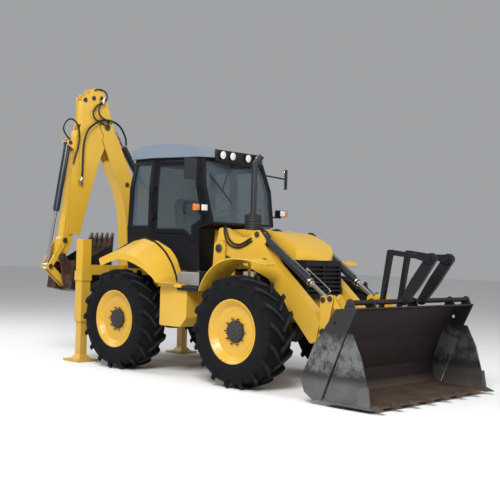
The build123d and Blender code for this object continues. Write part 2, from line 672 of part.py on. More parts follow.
# ================================================================ loader
TILT_BASE = (-180.0, 1830.0)           # tilt ram, pin on the arm's knee
TILT_EYE = (900.0, 1085.0)             # tilt ram, pin on the lever
LEVER_PIVOT = (907.0, 712.0)
BUCKET_PIVOT = (1173.0, 398.0)
LINK_REAR = (1000.0, 1100.0)           # pin on the lever
LINK_FRONT = (LINK_REAR[0] + BUCKET_PIVOT[0] - LEVER_PIVOT[0],
              LINK_REAR[1] + BUCKET_PIVOT[1] - LEVER_PIVOT[1])
TILT_EAR_IN = 49.0
ARM_POCKET = 58.0              # half width of the channel for the lift ram


def loader_arm():
    body = poly((-870, 1590), (-880, 1760), (-850, 1905), (-800, 1915), (-560, 1800), (-330, 1790),
                (-245, 1800), (-120, 1800), (-60, 1700), (130, 1480), (760, 934), (830, 800),
                (780, 590), (700, 560), (20, 1290), (-100, 1340), (-700, 1560))
    arm = LOADER.slab(fillet(body.vertices(), 28), -ARM_HALF, ARM_HALF)
    tongue = hull((820, 690, 110), (*LEVER_PIVOT, 85), (*BUCKET_PIVOT, 62))
    arm += LOADER.slab(tongue, -TONGUE_HALF, TONGUE_HALF)
    ear = hull((*TILT_BASE, 52), (-250, 1760, 60), (-110, 1740, 60))
    for sign in (1, -1):
        w0, w1 = sorted((sign * TILT_EAR_IN, sign * ARM_HALF))
        arm += LOADER.slab(ear, w0, w1)
        arm += LOADER.disc(TILT_BASE, PIN_SMALL + 6, sign * ARM_HALF, sign * (ARM_HALF + 12))
    notch = hull((*TILT_BASE, 62), (60, 1664, 62), (-60, 1900, 60))
    arm -= LOADER.slab(notch, -TILT_EAR_IN, TILT_EAR_IN)
    pocket = hull((*LIFT_EYE, 106), (-330, 1120, 120), (-820, 1405, 75))
    arm -= LOADER.slab(pocket, -ARM_POCKET, ARM_POCKET)
    arm += LOADER.disc(LIFT_EYE, PIN_SMALL + 4, ARM_HALF, ARM_HALF + 5)
    arm += LOADER.disc(TILT_BASE, PIN_SMALL, -TILT_EAR_IN - 1, TILT_EAR_IN + 1)
    arm -= LOADER.disc(LIFT_PIVOT, PIN + FIT, -ARM_HALF - 1, ARM_HALF + 1)
    return arm - LOADER.disc(BUCKET_PIVOT, PIN + FIT, -ARM_HALF, ARM_HALF)


def loader_arms():
    arm = Pos(0, ARM_Y, 0) * loader_arm()
    tie = tube((640, -ARM_Y, 730), (640, ARM_Y, 730), 70)
    pins = LOADER.disc(LEVER_PIVOT, PIN, ARM_Y - LEVER_OUT - 8, ARM_Y + LEVER_OUT + 8)
    half = arm + pins
    return half + mirrored(half) + tie


BUCKET_EAR_IN = TONGUE_HALF + GAP      # the layers outwards from the arm's front tongue
BUCKET_EAR_OUT = BUCKET_EAR_IN + EAR
LINK_IN_Y = BUCKET_EAR_OUT + GAP
LINK_OUT_Y = LINK_IN_Y + EAR
LEVER_IN = LINK_OUT_Y + GAP
LEVER_OUT = LEVER_IN + EAR


def bell_cranks():
    outline = hull((*LEVER_PIVOT, 52), (*TILT_EYE, 46)) + hull((*LEVER_PIVOT, 52), (*LINK_REAR, 46))
    plates = []
    for sign in (1, -1):
        plate = LOADER.slab(outline, sign * LEVER_IN, sign * LEVER_OUT)
        plate -= LOADER.disc(LEVER_PIVOT, PIN + FIT, -100, 100)
        stub = LOADER.disc(TILT_EYE, PIN_SMALL, sign * LEVER_OUT, sign * (LEVER_OUT + 10))
        stub += LOADER.disc(LINK_REAR, PIN_SMALL, sign * (LINK_IN_Y - 2), sign * (LEVER_OUT + 10))
        plates.append(plate + stub)
    return both(Pos(0, ARM_Y, 0) * group(*plates))


def bucket_links():
    outline = hull((*LINK_REAR, 38), (*LINK_FRONT, 38))
    straps = []
    for sign in (1, -1):
        strap = LOADER.slab(outline, sign * LINK_IN_Y, sign * LINK_OUT_Y)
        strap -= LOADER.disc(LINK_REAR, PIN_SMALL + FIT, -100, 100)
        strap -= LOADER.disc(LINK_FRONT, PIN_SMALL + FIT, -100, 100)
        straps.append(strap)
    return both(Pos(0, ARM_Y, 0) * group(*straps))


CLAM_HINGE = (1609.0, 743.0)
LIFT_HOLE = (1570.0, 888.0)            # lifting eyes in the bucket's side cheeks
LIFT_HOLE_RADIUS = 20.0
BUCKET_BACK = ((1572, 1021), (1293, 634), (1123, 256), (1180, 120), (1300, 50), (1395, 62))
SPLIT_TOP, SPLIT_LOW = (1706.0, 777.0), (1405.0, 62.0)
CLAM_GAP = 8.0


def loader_bucket():
    """The rear half of the four-in-one bucket: back, top, side cheeks and hanger ears."""
    half = BUCKET_WIDTH / 2
    cheek = poly(*BUCKET_BACK, SPLIT_LOW, SPLIT_TOP, (1834, 1043))
    t = BUCKET_PLATE
    wall_line = [(1572, 1021), (1400, 660), (1290, 330), (1300, 170), (1350, 72), (1400, 56)]
    inner_line = [(1590, 1012), (1418, 652), (1307, 326), (1316, 176), (1360, 88), (1404, 74)]
    wall = poly(*wall_line, *reversed(inner_line))
    lip = poly((1555, 1005), (1572, 1035), (1834, 1059), (1834, 1043), (1590, 1003))
    bucket = LOADER.slab(wall, -half, half) + LOADER.slab(lip, -half, half)
    blade = poly((1380, 50), (1412, 50), (1412, 82), (1380, 82))
    bucket += LOADER.slab(blade, -half, half)
    for sign in (1, -1):
        bucket += LOADER.slab(cheek, sign * (half - t), sign * half)
    bucket -= LOADER.disc(LIFT_HOLE, LIFT_HOLE_RADIUS, -half - 5, half + 5)
    bar = TOP_BAR
    bucket += tube((bar[0], -half, bar[1]), (bar[0], half, bar[1]), TOP_BAR_RADIUS)
    for y in (-half + 20, -800.0, 0.0, 800.0, half - 20):
        bucket += LOADER.slab(hull((*bar, 42), (1700, 1045, 26), (1790, 1050, 20)), y - 10, y + 10)
    ear_in, ear_out = BUCKET_EAR_IN, BUCKET_EAR_OUT
    outline = poly((1130, 340), (1150, 470), (1215, 820), (1290, 850), (1500, 900), (1402, 665), (1292, 335),
                   (1292, 250), (1180, 250))
    outline += Pos(*BUCKET_PIVOT) * Circle(58) + Pos(*LINK_FRONT) * Circle(48)
    for middle in (ARM_Y, -ARM_Y):
        for sign in (1, -1):
            w0, w1 = sorted((middle + sign * ear_in, middle + sign * ear_out))
            bucket += LOADER.slab(outline, w0, w1)
        bucket += LOADER.disc(BUCKET_PIVOT, PIN, middle - ear_out - 8, middle + ear_out + 8)
        bucket += LOADER.disc(LINK_FRONT, PIN_SMALL, middle - LINK_OUT_Y - 8, middle + LINK_OUT_Y + 8)
    bucket -= LOADER.disc(CLAM_HINGE, 24 + FIT, -half - 5, -half + 40)
    bucket -= LOADER.disc(CLAM_HINGE, 24 + FIT, half - 40, half + 5)
    return bucket


TOP_BAR = (1742.0, 1107.0)
TOP_BAR_RADIUS = 28.0


def bucket_clam():
    """The front jaw: floor, cutting edge with teeth, side cheeks and its hinge pins."""
    half = BUCKET_WIDTH / 2
    inner = half - BUCKET_PLATE - 3
    split = [(SPLIT_TOP[0] + CLAM_GAP, SPLIT_TOP[1]), (SPLIT_LOW[0] + CLAM_GAP + 14, SPLIT_LOW[1])]
    cheek = poly(*split, (1500, 42), (2010, 38), (1985, 240), (1895, 554), (1773, 790), (1640, 800),
                 (1570, 760), (1585, 700))
    floor = poly((1425, 62), (1500, 38), (2060, 38), (2060, 58), (1500, 60), (1440, 80))
    jaw = LOADER.slab(floor, -half, half)
    for sign in (1, -1):
        jaw += LOADER.slab(cheek, sign * (inner - BUCKET_PLATE), sign * inner)
        jaw += LOADER.disc(CLAM_HINGE, 24, sign * (inner - 2), sign * (half + 14))
        cutter = poly((1860, 240), (2000, 268), (2035, 60), (1880, 60))
        jaw += LOADER.slab(cutter, sign * (inner - 2), sign * (half + 4))
    step = (BUCKET_WIDTH - 140) / (TOOTH_COUNT - 1)
    for i in range(TOOTH_COUNT):
        y = -half + 70 + i * step
        tooth = poly((1930, 30), (2060, 30), (2060 + TOOTH_LENGTH * 0.55, 40), (2060, 78), (1930, 72))
        jaw += LOADER.slab(tooth, y - 32, y + 32)
    return jaw


FORK_Y = 180.0
FORK_JOINT = (2080.0, 1590.0)
FORK_BEND = (1545.0, 1650.0)
FORK_TIP = (1424.0, 915.0)


def fork_arms():
    """Two arms that turn on the bucket's top bar and carry the folding forks."""
    arms = []
    for middle in (FORK_Y, -FORK_Y):
        plate = hull((*TOP_BAR, 47), (1900, 1331, 66), (*FORK_JOINT, 62))
        arm = LOADER.slab(plate, middle - 22, middle + 22)
        arm -= LOADER.disc(TOP_BAR, TOP_BAR_RADIUS + FIT, middle - 30, middle + 30)
        arms.append(arm + LOADER.disc(FORK_JOINT, PIN_SMALL, middle - 60, middle + 60))
    return group(*arms)


def fork_tines():
    """The folded forks: a heel at the joint, a shank and the long tine behind the bucket."""
    forks = []
    for middle in (FORK_Y, -FORK_Y):
        heel = None
        for sign in (1, -1):
            w0, w1 = sorted((middle + sign * (22 + GAP), middle + sign * (22 + GAP + 18)))
            outline = hull((*FORK_JOINT, 52), (FORK_JOINT[0] - 150, FORK_JOINT[1] + 20, 30))
            cheek = LOADER.slab(outline, w0, w1)
            cheek -= LOADER.disc(FORK_JOINT, PIN_SMALL + FIT, middle - 60, middle + 60)
            heel = cheek if heel is None else heel + cheek
        low = (FORK_JOINT[0] - 150, FORK_JOINT[1] + 18)
        heel += LOADER.slab(hull((*low, 26), (*FORK_BEND, 30)), middle - 28, middle + 28)
        heel += LOADER.slab(hull((*FORK_BEND, 30), (*FORK_TIP, 20)), middle - 28, middle + 28)
        bridge = hull((*low, 26), (FORK_JOINT[0] - 130, FORK_JOINT[1] + 18, 28))
        heel += LOADER.slab(bridge, middle - 46, middle + 46)
        forks.append(heel - LOADER.slab(Pos(*FORK_JOINT) * Circle(70), middle - 22 - GAP, middle + 22 + GAP))
    return group(*forks)


# ================================================================ backhoe: pins in (reach, height)
BOOM_FOOT = (215.0, 950.0)
KNEE = (778.0, 3442.0)
BOOM_RAM_BASE = (-20.0, 1400.0)
BOOM_RAM_EYE = (360.0, 2600.0)
DIPPER_RAM_BASE = (-200.0, 2420.0)
DIPPER_RAM_EYE = (877.0, 3860.0)
HOE_PIVOT = (1511.0, 1462.0)           # bucket on the dipper's nose
HOE_LINK = (1407.0, 1078.0)            # link on the bucket
ROCKER_PIVOT = (1470.0, 1708.0)
ROCKER_PIN = (1705.0, 1330.0)
BUCKET_RAM_BASE = (1410.0, 3140.0)
SLIDE_TILT = 7.0
SLIDE_DEPTH = 85.0                     # half depth of the sliding dipper
EXTENSION_HALF = 68.0
BOOM_IN = HOE_DIPPER_HALF + 7          # inner face of a boom plate
BOOM_OUT = BOOM_IN + HOE_PLATE
POST_IN = BOOM_OUT + 8
POST_OUT = POST_IN + 25
ROCKER_IN, ROCKER_OUT = EXTENSION_HALF + 8, EXTENSION_HALF + 24
HOE_EAR_IN, HOE_EAR_OUT = ROCKER_OUT + 8, ROCKER_OUT + 28


def slide_line(z):
    """Middle of the sliding dipper at height z."""
    return 1400.0 - (z - 1800.0) * tan(radians(SLIDE_TILT))


def band(half, z0, z1):
    """A strip along the sliding dipper, half wide to each side of its middle."""
    h = half / cos(radians(SLIDE_TILT))
    low, high = slide_line(z0), slide_line(z1)
    return poly((low - h, z0), (low + h, z0), (high + h, z1), (high - h, z1))


def plates(side, sketch, inner, outer):
    """A pair of like plates at each side of the drawing plane."""
    return side.slab(sketch, inner, outer) + side.slab(sketch, -outer, -inner)


BEAM_LOW, BEAM_HIGH = (LEG_BOX_BOTTOM, 700.0), (1225.0, 1365.0)
BEAM_FRONT = LEG_X + 75.0
COLLAR = (1140.0, 1280.0)
LEG_FIT = 4.0                 # from the inner leg to its box


def backhoe_frame():
    """Rear frame: side-shift beams, stabiliser boxes and the plates to the frame rails."""
    half = LEG_BOX / 2
    reach = LEG_Y - half + 20
    frame = box(SLIDE_FACE, BEAM_FRONT, -reach, reach, *BEAM_HIGH)
    frame += box(SLIDE_FACE, BEAM_FRONT, -reach, reach, *BEAM_LOW)
    x0, x1 = LEG_X - half, LEG_X + half
    for sign in (1, -1):
        y0, y1 = sorted((sign * (LEG_Y - half), sign * (LEG_Y + half)))
        frame += box(x0, x1, y0, y1, LEG_BOX_BOTTOM, LEG_TOP)
        frame += box(x0 - 12, x1 + 12, y0 - 12, y1 + 12, *COLLAR)
        frame -= box(x0 + LEG_WALL, x1 - LEG_WALL, y0 + LEG_WALL, y1 - LEG_WALL,
                     LEG_BOX_BOTTOM - 10, LEG_TOP - LEG_LID)
        ya, yb = sorted((sign * (RAIL_INNER + 10), sign * (RAIL_OUTER - 10)))
        frame += box(BEAM_FRONT - 10, RAIL_REAR - FIT, ya, yb, LEG_BOX_BOTTOM, BEAM_HIGH[1])
        yc, yd = sorted((sign * 560, sign * 590))
        frame += box(SLIDE_FACE + 20, BEAM_FRONT, yc, yd, BEAM_LOW[1] - 10, BEAM_HIGH[0] + 5)
    return frame


def stabiliser_leg(sign):
    """The sliding inner leg with its foot, for one side."""
    half = LEG_BOX / 2 - LEG_WALL - LEG_FIT
    x0, x1 = LEG_X - half, LEG_X + half
    top = LEG_TOP - LEG_LID - LEG_TRAVEL - 20
    y0, y1 = LEG_Y - half, LEG_Y + half
    pad = LEG_FIT - FIT
    leg = box(x0, x1, y0, y1, 90, top) + box(x0 - pad, x1 + pad, y0 - pad, y1 + pad, top - 160, top - 20)
    leg -= box(x0 + 12, x1 - 12, y0 + 12, y1 - 12, 130, top + 20)
    foot = Pos(LEG_X, LEG_Y, FOOT_PLATE / 2) * Box(FOOT_SIZE, FOOT_SIZE, FOOT_PLATE)
    cone = loft([Plane(origin=(LEG_X, LEG_Y, FOOT_PLATE)) * Rectangle(FOOT_SIZE - 130, FOOT_SIZE - 130),
                 Plane(origin=(LEG_X, LEG_Y, 95)) * Rectangle(2 * half, 2 * half)], ruled=True)
    piece = leg + foot + cone
    return piece if sign > 0 else mirrored(piece)


def backhoe_carriage():
    """Side-shift carriage with the ears that hold the slewing post."""
    x0, x1 = POST_X + 200, SLIDE_FACE - FIT
    y0, y1 = POST_Y - 280, POST_Y + 280
    body = box(x0, x1, y0, y1, 530, 1395)
    for z0, z1 in ((BEAM_LOW[0] - 28, BEAM_LOW[0] - FIT), (BEAM_HIGH[1] + FIT, BEAM_HIGH[1] + 28)):
        body += box(x1 - 5, LEG_X + 40, y0, y1, z0, z1)
    for z0, z1 in CARRIAGE_EARS:
        ear = box(POST_X, x0 + 10, POST_Y - EAR_REACH, POST_Y + EAR_REACH, z0, z1)
        ear += Pos(POST_X, POST_Y, (z0 + z1) / 2) * Cylinder(EAR_REACH, z1 - z0)
        ear -= Pos(POST_X, POST_Y, (z0 + z1) / 2) * Cylinder(SLEW_PIN + FIT, z1 - z0 + 4)
        body += ear
    return body


CARRIAGE_EARS = ((620.0, 700.0), (1110.0, 1190.0))
SLEW_PIN = 45.0


def swing_post():
    z0, z1 = CARRIAGE_EARS[0][1] + 5, CARRIAGE_EARS[1][0] - 5
    hub = Pos(POST_X, POST_Y, (z0 + z1) / 2) * Cylinder(88, z1 - z0)
    pin = Pos(POST_X, POST_Y, (CARRIAGE_EARS[0][0] + CARRIAGE_EARS[1][1]) / 2) * Cylinder(
        SLEW_PIN, CARRIAGE_EARS[1][1] - CARRIAGE_EARS[0][0] + 20)
    block = HOE.slab(poly((-85, z0 + 10), (85, z0 + 10), (85, z1 - 10), (-85, z1 - 10)), -POST_OUT, POST_OUT)
    cheek = poly((60, z0 + 10), (250, z0 + 30), (345, 880), (350, 1080), (310, 1300), (110, 1500),
                 (-60, 1490), (-90, 1390), (-40, 1320), (140, 1270), (140, z1 - 10), (60, z1 - 10))
    post = hub + pin + block + plates(HOE, cheek, POST_IN, POST_OUT)
    post -= HOE.slab(Pos(*BOOM_FOOT) * Circle(118), -POST_IN, POST_IN)
    for pin_at, radius, half in ((BOOM_FOOT, PIN, POST_OUT + 8), (BOOM_RAM_BASE, PIN_SMALL, POST_OUT + 8)):
        post += HOE.disc(pin_at, radius, -half, half)
    return post


def boom():
    """The curved boom: two plates, the belly and top webs, and bosses at its pins."""
    belly = Curve() + [Line((300, 1080), (336, 1774)), ThreePointArc((336, 1774), (415, 2310), (617, 2749)),
                       Line((617, 2749), (850, 3240))]
    top = Curve() + [Line((850, 3240), (690, 3520)), Line((690, 3520), (354, 2895)),
                     ThreePointArc((354, 2895), (150, 2340), (105, 1700)), Line((105, 1700), (140, 1080))]
    outline = make_face(belly + top + Line((140, 1080), (300, 1080)))
    outline += hull((*BOOM_FOOT, 98), (220, 1150, 82))
    outline += hull((*KNEE, 112), (700, 3300, 110))
    outline += hull((*DIPPER_RAM_BASE, 58), (150, 2560, 90), (140, 2180, 60))
    side_plates = plates(HOE, outline, BOOM_IN, BOOM_OUT)
    web_belly = make_face(Curve() + [
        Line((300, 1150), (336, 1774)), ThreePointArc((336, 1774), (415, 2310), (617, 2749)),
        Line((617, 2749), (700, 2925)), Line((700, 2925), (686, 2932)), Line((686, 2932), (603, 2757)),
        ThreePointArc((603, 2757), (400, 2314), (321, 1775)), Line((321, 1775), (286, 1150)),
        Line((286, 1150), (300, 1150))])
    body = side_plates + HOE.slab(web_belly, -BOOM_IN, BOOM_IN)
    body += HOE.slab(poly((365, 2890), (440, 3030), (428, 3037), (352, 2897)), -BOOM_IN, BOOM_IN)
    body += HOE.slab(poly((430, 3030), (680, 2926), (686, 2940), (440, 3048)), -BOOM_IN, BOOM_IN)
    foot = HOE.disc(BOOM_FOOT, 80, -BOOM_IN, BOOM_IN)
    body += foot
    body -= HOE.disc(BOOM_FOOT, PIN + FIT, -BOOM_OUT - 5, BOOM_OUT + 5)
    body += HOE.disc(KNEE, PIN + 4, -BOOM_OUT - 12, BOOM_OUT + 12)
    body += HOE.disc(DIPPER_RAM_BASE, PIN_SMALL, -BOOM_OUT - 8, BOOM_OUT + 8)
    for sign in (1, -1):
        body += HOE.disc(BOOM_RAM_EYE, PIN_SMALL + 8, sign * BOOM_OUT, sign * (BOOM_OUT + 8))
        body += HOE.disc(KNEE, 62, sign * (BOOM_OUT - 1), sign * (BOOM_OUT + 6))
    return body


def dipper():
    """The dipper: two plates open on the outer side, with the tail above the knee."""
    outline = poly((1205, 1800), (1398, 1800), (1398, 2340), (1384, 2715), (1300, 3100),
                   (1223, 3514), (1215, 3800), (1150, 3900), (840, 3940), (770, 3830), (660, 3480),
                   (680, 3380), (881, 2928), (1049, 2364))
    outline += Pos(960, 3880) * Circle(130) + Pos(*KNEE) * Circle(100) + Pos(1165, 3795) * Circle(62)
    inner = HOE_DIPPER_HALF - HOE_PLATE
    body = plates(HOE, outline, inner, HOE_DIPPER_HALF)
    web_r = (SLIDE_DEPTH + FIT) / cos(radians(SLIDE_TILT))
    z0, z1 = 1800, 3420
    web = poly((slide_line(z0) - web_r - 16, z0), (slide_line(z0) - web_r, z0), (slide_line(z1) - web_r, z1),
               (slide_line(z1) - web_r - 16, z1))
    body += HOE.slab(web, -inner - 1, inner + 1)
    body += HOE.slab(poly((1212, 1800), (1224, 1803), (1068, 2370), (900, 2935), (700, 3385), (684, 3378),
                          (884, 2926), (1052, 2362)), -inner - 1, inner + 1)
    body += HOE.slab(poly((1196, 3440), (1212, 3440), (1204, 3790), (1188, 3790)), -inner - 1, inner + 1)
    body += HOE.disc(KNEE, 78, -inner - 1, inner + 1)
    body -= HOE.disc(KNEE, PIN + 4 + FIT, -HOE_DIPPER_HALF - 5, HOE_DIPPER_HALF + 5)
    for sign in (1, -1):
        for pin_at in (DIPPER_RAM_EYE, (1027, 3846), (1180, 3800)):
            span = (sign * (HOE_DIPPER_HALF - 1), sign * (HOE_DIPPER_HALF + 4))
            body += HOE.disc(pin_at, PIN_SMALL + 4, *span)
    body -= HOE.slab(hull((*DIPPER_RAM_EYE, 95), (700, 3700, 90), (600, 3600, 60)), -inner + 2, inner - 2)
    return body


def dipper_extension():
    """The sliding dipper with its nose and the bucket ram's lug."""
    beam = HOE.slab(band(SLIDE_DEPTH, 1700, 3340), -EXTENSION_HALF, EXTENSION_HALF)
    beam -= HOE.slab(band(SLIDE_DEPTH - 10, 1850, 3400), -EXTENSION_HALF + 10, EXTENSION_HALF - 10)
    nose = hull((1376, 1705, 52), (1440, 1705, 52), (*ROCKER_PIVOT, 60), (*HOE_PIVOT, 66))
    beam += HOE.slab(nose, -EXTENSION_HALF, EXTENSION_HALF)
    lug_root = (slide_line(3140) + 50, 3140)
    for sign in (1, -1):
        ear = hull((*BUCKET_RAM_BASE, 48), (lug_root[0], 3230, 30), (lug_root[0] + 5, 3050, 30))
        beam += HOE.slab(ear, sign * 53, sign * 69)
    beam += HOE.disc(BUCKET_RAM_BASE, PIN_SMALL, -71, 71)
    beam += HOE.disc(ROCKER_PIVOT, PIN, -ROCKER_OUT - 6, ROCKER_OUT + 6)
    beam -= HOE.disc(HOE_PIVOT, PIN + FIT, -100, 100)
    return beam


def rocker():
    outline = hull((*ROCKER_PIVOT, 46), (*ROCKER_PIN, 40))
    body = plates(HOE, outline, ROCKER_IN, ROCKER_OUT)
    body -= HOE.disc(ROCKER_PIVOT, PIN + FIT, -200, 200)
    return body + HOE.disc(ROCKER_PIN, PIN_SMALL + 4, LINK_IN - 2, ROCKER_OUT + 8) + HOE.disc(
        ROCKER_PIN, PIN_SMALL + 4, -ROCKER_OUT - 8, -LINK_IN + 2)


LINK_IN, LINK_OUT = 44.0, 64.0


def hoe_link():
    outline = hull((*ROCKER_PIN, 44), (*HOE_LINK, 44))
    body = plates(HOE, outline, LINK_IN, LINK_OUT)
    body -= HOE.disc(ROCKER_PIN, PIN_SMALL + 4 + FIT, -200, 200)
    middle = along(ROCKER_PIN, HOE_LINK, 250)
    body += HOE.disc(middle, 26, -LINK_OUT + 5, LINK_OUT - 5)
    return body - HOE.disc(HOE_LINK, 22, -200, 200)


def hoe_bucket():
    half = HOE_BUCKET_WIDTH / 2
    t = HOE_PLATE
    outer = Curve() + [Line((742, 1700), (762, 1450)), ThreePointArc((762, 1450), (900, 1090), (1230, 960)),
                       Line((1230, 960), (1480, 1010))]
    inner = Curve() + [Line((1476, 1026), (1230, 976)), ThreePointArc((1230, 976), (912, 1102), (778, 1452)),
                       Line((778, 1452), (758, 1702))]
    wrap = make_face(outer + Line((1480, 1010), (1476, 1026)) + inner + Line((758, 1702), (742, 1700)))
    bucket = HOE.slab(wrap, -half, half)
    bucket += HOE.slab(poly((1474, 1008), (1488, 1014), (1432, 1420), (1418, 1418)), -half, half)
    cheek = make_face(outer + Line((1480, 1010), (1425, 1424)) + Line((1425, 1424), (1180, 1460))
                      + Line((1180, 1460), (742, 1700)))
    bucket += plates(HOE, cheek, half - t, half)
    ears = hull((*HOE_PIVOT, 62), (1440, 1400, 30)) + hull((*HOE_LINK, 52), (1450, 1040, 30), (1250, 985, 22))
    ears += poly((1480, 1010), (1560, 1440), (1465, 1480), (1400, 1420), (1440, 1000))
    bucket += plates(HOE, ears, HOE_EAR_IN, HOE_EAR_OUT)
    bucket += HOE.disc(HOE_PIVOT, PIN, -HOE_EAR_OUT - 8, HOE_EAR_OUT + 8)
    for sign in (1, -1):
        bucket += HOE.disc(HOE_LINK, PIN, sign * HOE_EAR_OUT, sign * (HOE_EAR_OUT + 8))
    bucket -= HOE.slab(hull((*HOE_LINK, 100), (1500, 1120, 110), (1440, 1240, 90)), -HOE_EAR_IN, HOE_EAR_IN)
    for i in range(5):
        w = -half + 50 + i * (HOE_BUCKET_WIDTH - 100) / 4
        tooth = poly((735, 1640), (785, 1640), (775, 1760), (722, 1850), (722, 1740))
        bucket += HOE.slab(tooth, w - 28, w + 28)
    return bucket


# ---------------------------------------------------------------- every ram, in one table
RAMS = {  # plane, base, eye, across, barrel, rod radius, barrel's end, reach left, eye half, eye radius, pin
    "lift": (LOADER, LIFT_BASE, LIFT_EYE, ARM_Y, 52, 28, 815, 690, 30, 42, PIN_SMALL),
    "tilt": (LOADER, TILT_BASE, TILT_EYE, ARM_Y, 44, 24, 985, 590, 27, 40, PIN_SMALL),
    "boom": (HOE, BOOM_RAM_BASE, BOOM_RAM_EYE, 0.0, 55, 31, 1085, 880, 38, 46, PIN_SMALL),
    "dipper": (HOE, DIPPER_RAM_BASE, DIPPER_RAM_EYE, 0.0, 52, 29, 935, 5, 38, 44, PIN_SMALL),
    "bucket": (HOE, BUCKET_RAM_BASE, ROCKER_PIN, 0.0, 50, 27, 1000, 10, 32, 44, PIN_SMALL),
}


def ram_pair(name):
    """(barrels, rods) of a loader ram, one on each side."""
    barrel, rod = ram(*RAMS[name])
    return both(barrel), both(rod)


def corner(shape, x, sign, lift=HUB_Z):
    """A left front piece placed at another wheel."""
    placed = Pos(x, 0, lift) * shape
    return placed if sign > 0 else mirrored(placed)


def build():
    """Every node by name, about the ground point under the front axle."""
    parts = {
        "main_frame": main_frame(), "engine_block": engine_block(), "nose_grille": nose_grille(),
        "rear_cowl": rear_cowl(), "hood": hood(), "exhaust_stack": exhaust_stack(),
        "side_tanks": side_tanks(),
        "cab_frame": cab_frame(), "cab_roof": cab_roof(), "cab_glass": cab_glass(),
        "cab_interior": cab_interior(), "rear_fenders": rear_fenders(),
        "lamps_and_mirrors": lamps_and_mirrors(),
        "cab_door_left": cab_door(1), "cab_door_right": cab_door(-1),
        "door_glass_left": door_glass(1), "door_glass_right": door_glass(-1),
        "backhoe_frame": backhoe_frame(), "stabiliser_leg_left": stabiliser_leg(1),
        "stabiliser_leg_right": stabiliser_leg(-1),
        "loader_arms": loader_arms(), "bell_cranks": bell_cranks(), "bucket_links": bucket_links(),
        "loader_bucket": loader_bucket(), "bucket_clam": bucket_clam(), "fork_arms": fork_arms(),
        "fork_tines": fork_tines(),
        "backhoe_carriage": backhoe_carriage(), "swing_post": swing_post(), "boom": boom(),
        "dipper": dipper(), "dipper_extension": dipper_extension(), "hoe_rocker": rocker(),
        "hoe_link": hoe_link(), "hoe_bucket": hoe_bucket(),
    }
    drive, one_tyre, one_rim, one_knuckle = axle(), tyre(), rim(), knuckle()
    guard = front_fender()
    for end, x in (("front", FRONT_X), ("rear", REAR_X)):
        parts[f"{end}_axle"] = Pos(x, 0, HUB_Z) * drive
        for hand, sign in (("left", 1), ("right", -1)):
            name = f"{end}_{hand}"
            parts[f"{name}_tyre"] = corner(Pos(0, HUB_Y, 0) * one_tyre, x, sign)
            parts[f"{name}_rim"] = corner(Pos(0, HUB_Y, 0) * one_rim, x, sign)
            piece = one_knuckle if end == "front" else mirror(one_knuckle, about=Plane.YZ)
            if end == "front":
                piece = piece + Pos(0, 0, -HUB_Z) * guard
            parts[f"{name}_knuckle"] = corner(piece, x, sign)
    for name in ("lift", "tilt"):
        parts[f"{name}_barrels"], parts[f"{name}_rods"] = ram_pair(name)
    for name in ("boom", "dipper", "bucket"):
        parts[f"{name}_ram_barrel"], parts[f"{name}_ram_rod"] = ram(*RAMS[name])
    return parts


def datum(parts):
    """The shift that brings the middle of the machine's underside to the origin."""
    bounds = Compound([s for part in parts.values() for s in part.solids()]).bounding_box()
    middle = bounds.center()
    return Vector(-middle.X, -middle.Y, -bounds.min.Z)


PARTS = build()
SHIFT = datum(PARTS)

if __name__ == "__main__":
    os.makedirs("parts", exist_ok=True)
    for node, shape in PARTS.items():
        export_step(Pos(*SHIFT) * shape, f"parts/{node}.step")
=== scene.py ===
"""Looks of a backhoe loader: finishes for every solid, and the hoses, glass, lamps, bolts and trim on them.

Places are worked out from the frame: from its joints, and from the ground point under the middle of the
front axle, about which the sizes below are given in metres (+X forwards, +Y to the machine's left).
"""
import json
import logging
from dataclasses import dataclass
from enum import Enum
from itertools import product
from math import cos, pi, radians, sin
from typing import Any, Callable, Iterable, Sequence

import bmesh
import bpy
from mathutils import Matrix, Vector


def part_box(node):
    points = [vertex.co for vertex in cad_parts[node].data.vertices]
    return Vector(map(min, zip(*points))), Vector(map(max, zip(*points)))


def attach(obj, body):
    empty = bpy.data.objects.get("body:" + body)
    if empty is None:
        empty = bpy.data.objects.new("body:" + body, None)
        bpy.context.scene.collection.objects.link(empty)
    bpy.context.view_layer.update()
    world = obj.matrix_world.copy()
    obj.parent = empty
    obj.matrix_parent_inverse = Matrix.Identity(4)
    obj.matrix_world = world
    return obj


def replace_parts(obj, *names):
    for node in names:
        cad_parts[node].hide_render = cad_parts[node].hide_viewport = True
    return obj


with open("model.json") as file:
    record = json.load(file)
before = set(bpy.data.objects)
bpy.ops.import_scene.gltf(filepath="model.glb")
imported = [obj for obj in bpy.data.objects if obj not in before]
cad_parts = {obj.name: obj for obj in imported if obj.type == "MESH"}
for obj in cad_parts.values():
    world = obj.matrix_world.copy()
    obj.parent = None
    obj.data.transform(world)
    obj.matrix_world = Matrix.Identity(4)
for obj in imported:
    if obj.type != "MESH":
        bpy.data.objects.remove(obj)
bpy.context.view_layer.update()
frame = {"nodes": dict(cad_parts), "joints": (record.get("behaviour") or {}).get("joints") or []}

log = logging.getLogger("backhoe_loader")
Colour = tuple[float, float, float]
Point = tuple[float, float, float]

HANDS = ((1, "left"), (-1, "right"))   # side across the machine, and its name
UP = Vector((0, 0, 1))
SHARP = radians(38)                    # edges sharper than this aren't smoothed


# ================================================================ places
def joint_place(name: str) -> Vector:
    """The pivot of a joint, by the joint's name."""
    found = next(joint for joint in frame["joints"] if joint["name"] == name)
    return Vector(found["pos_m"])


def axle_point() -> Vector:
    """The ground point under the middle of the front axle."""
    left, right = joint_place("wheel_front_left"), joint_place("wheel_front_right")
    return Vector(((left.x + right.x) / 2, (left.y + right.y) / 2, 0.0))


DATUM = axle_point()
SLEW = joint_place("backhoe_swing")


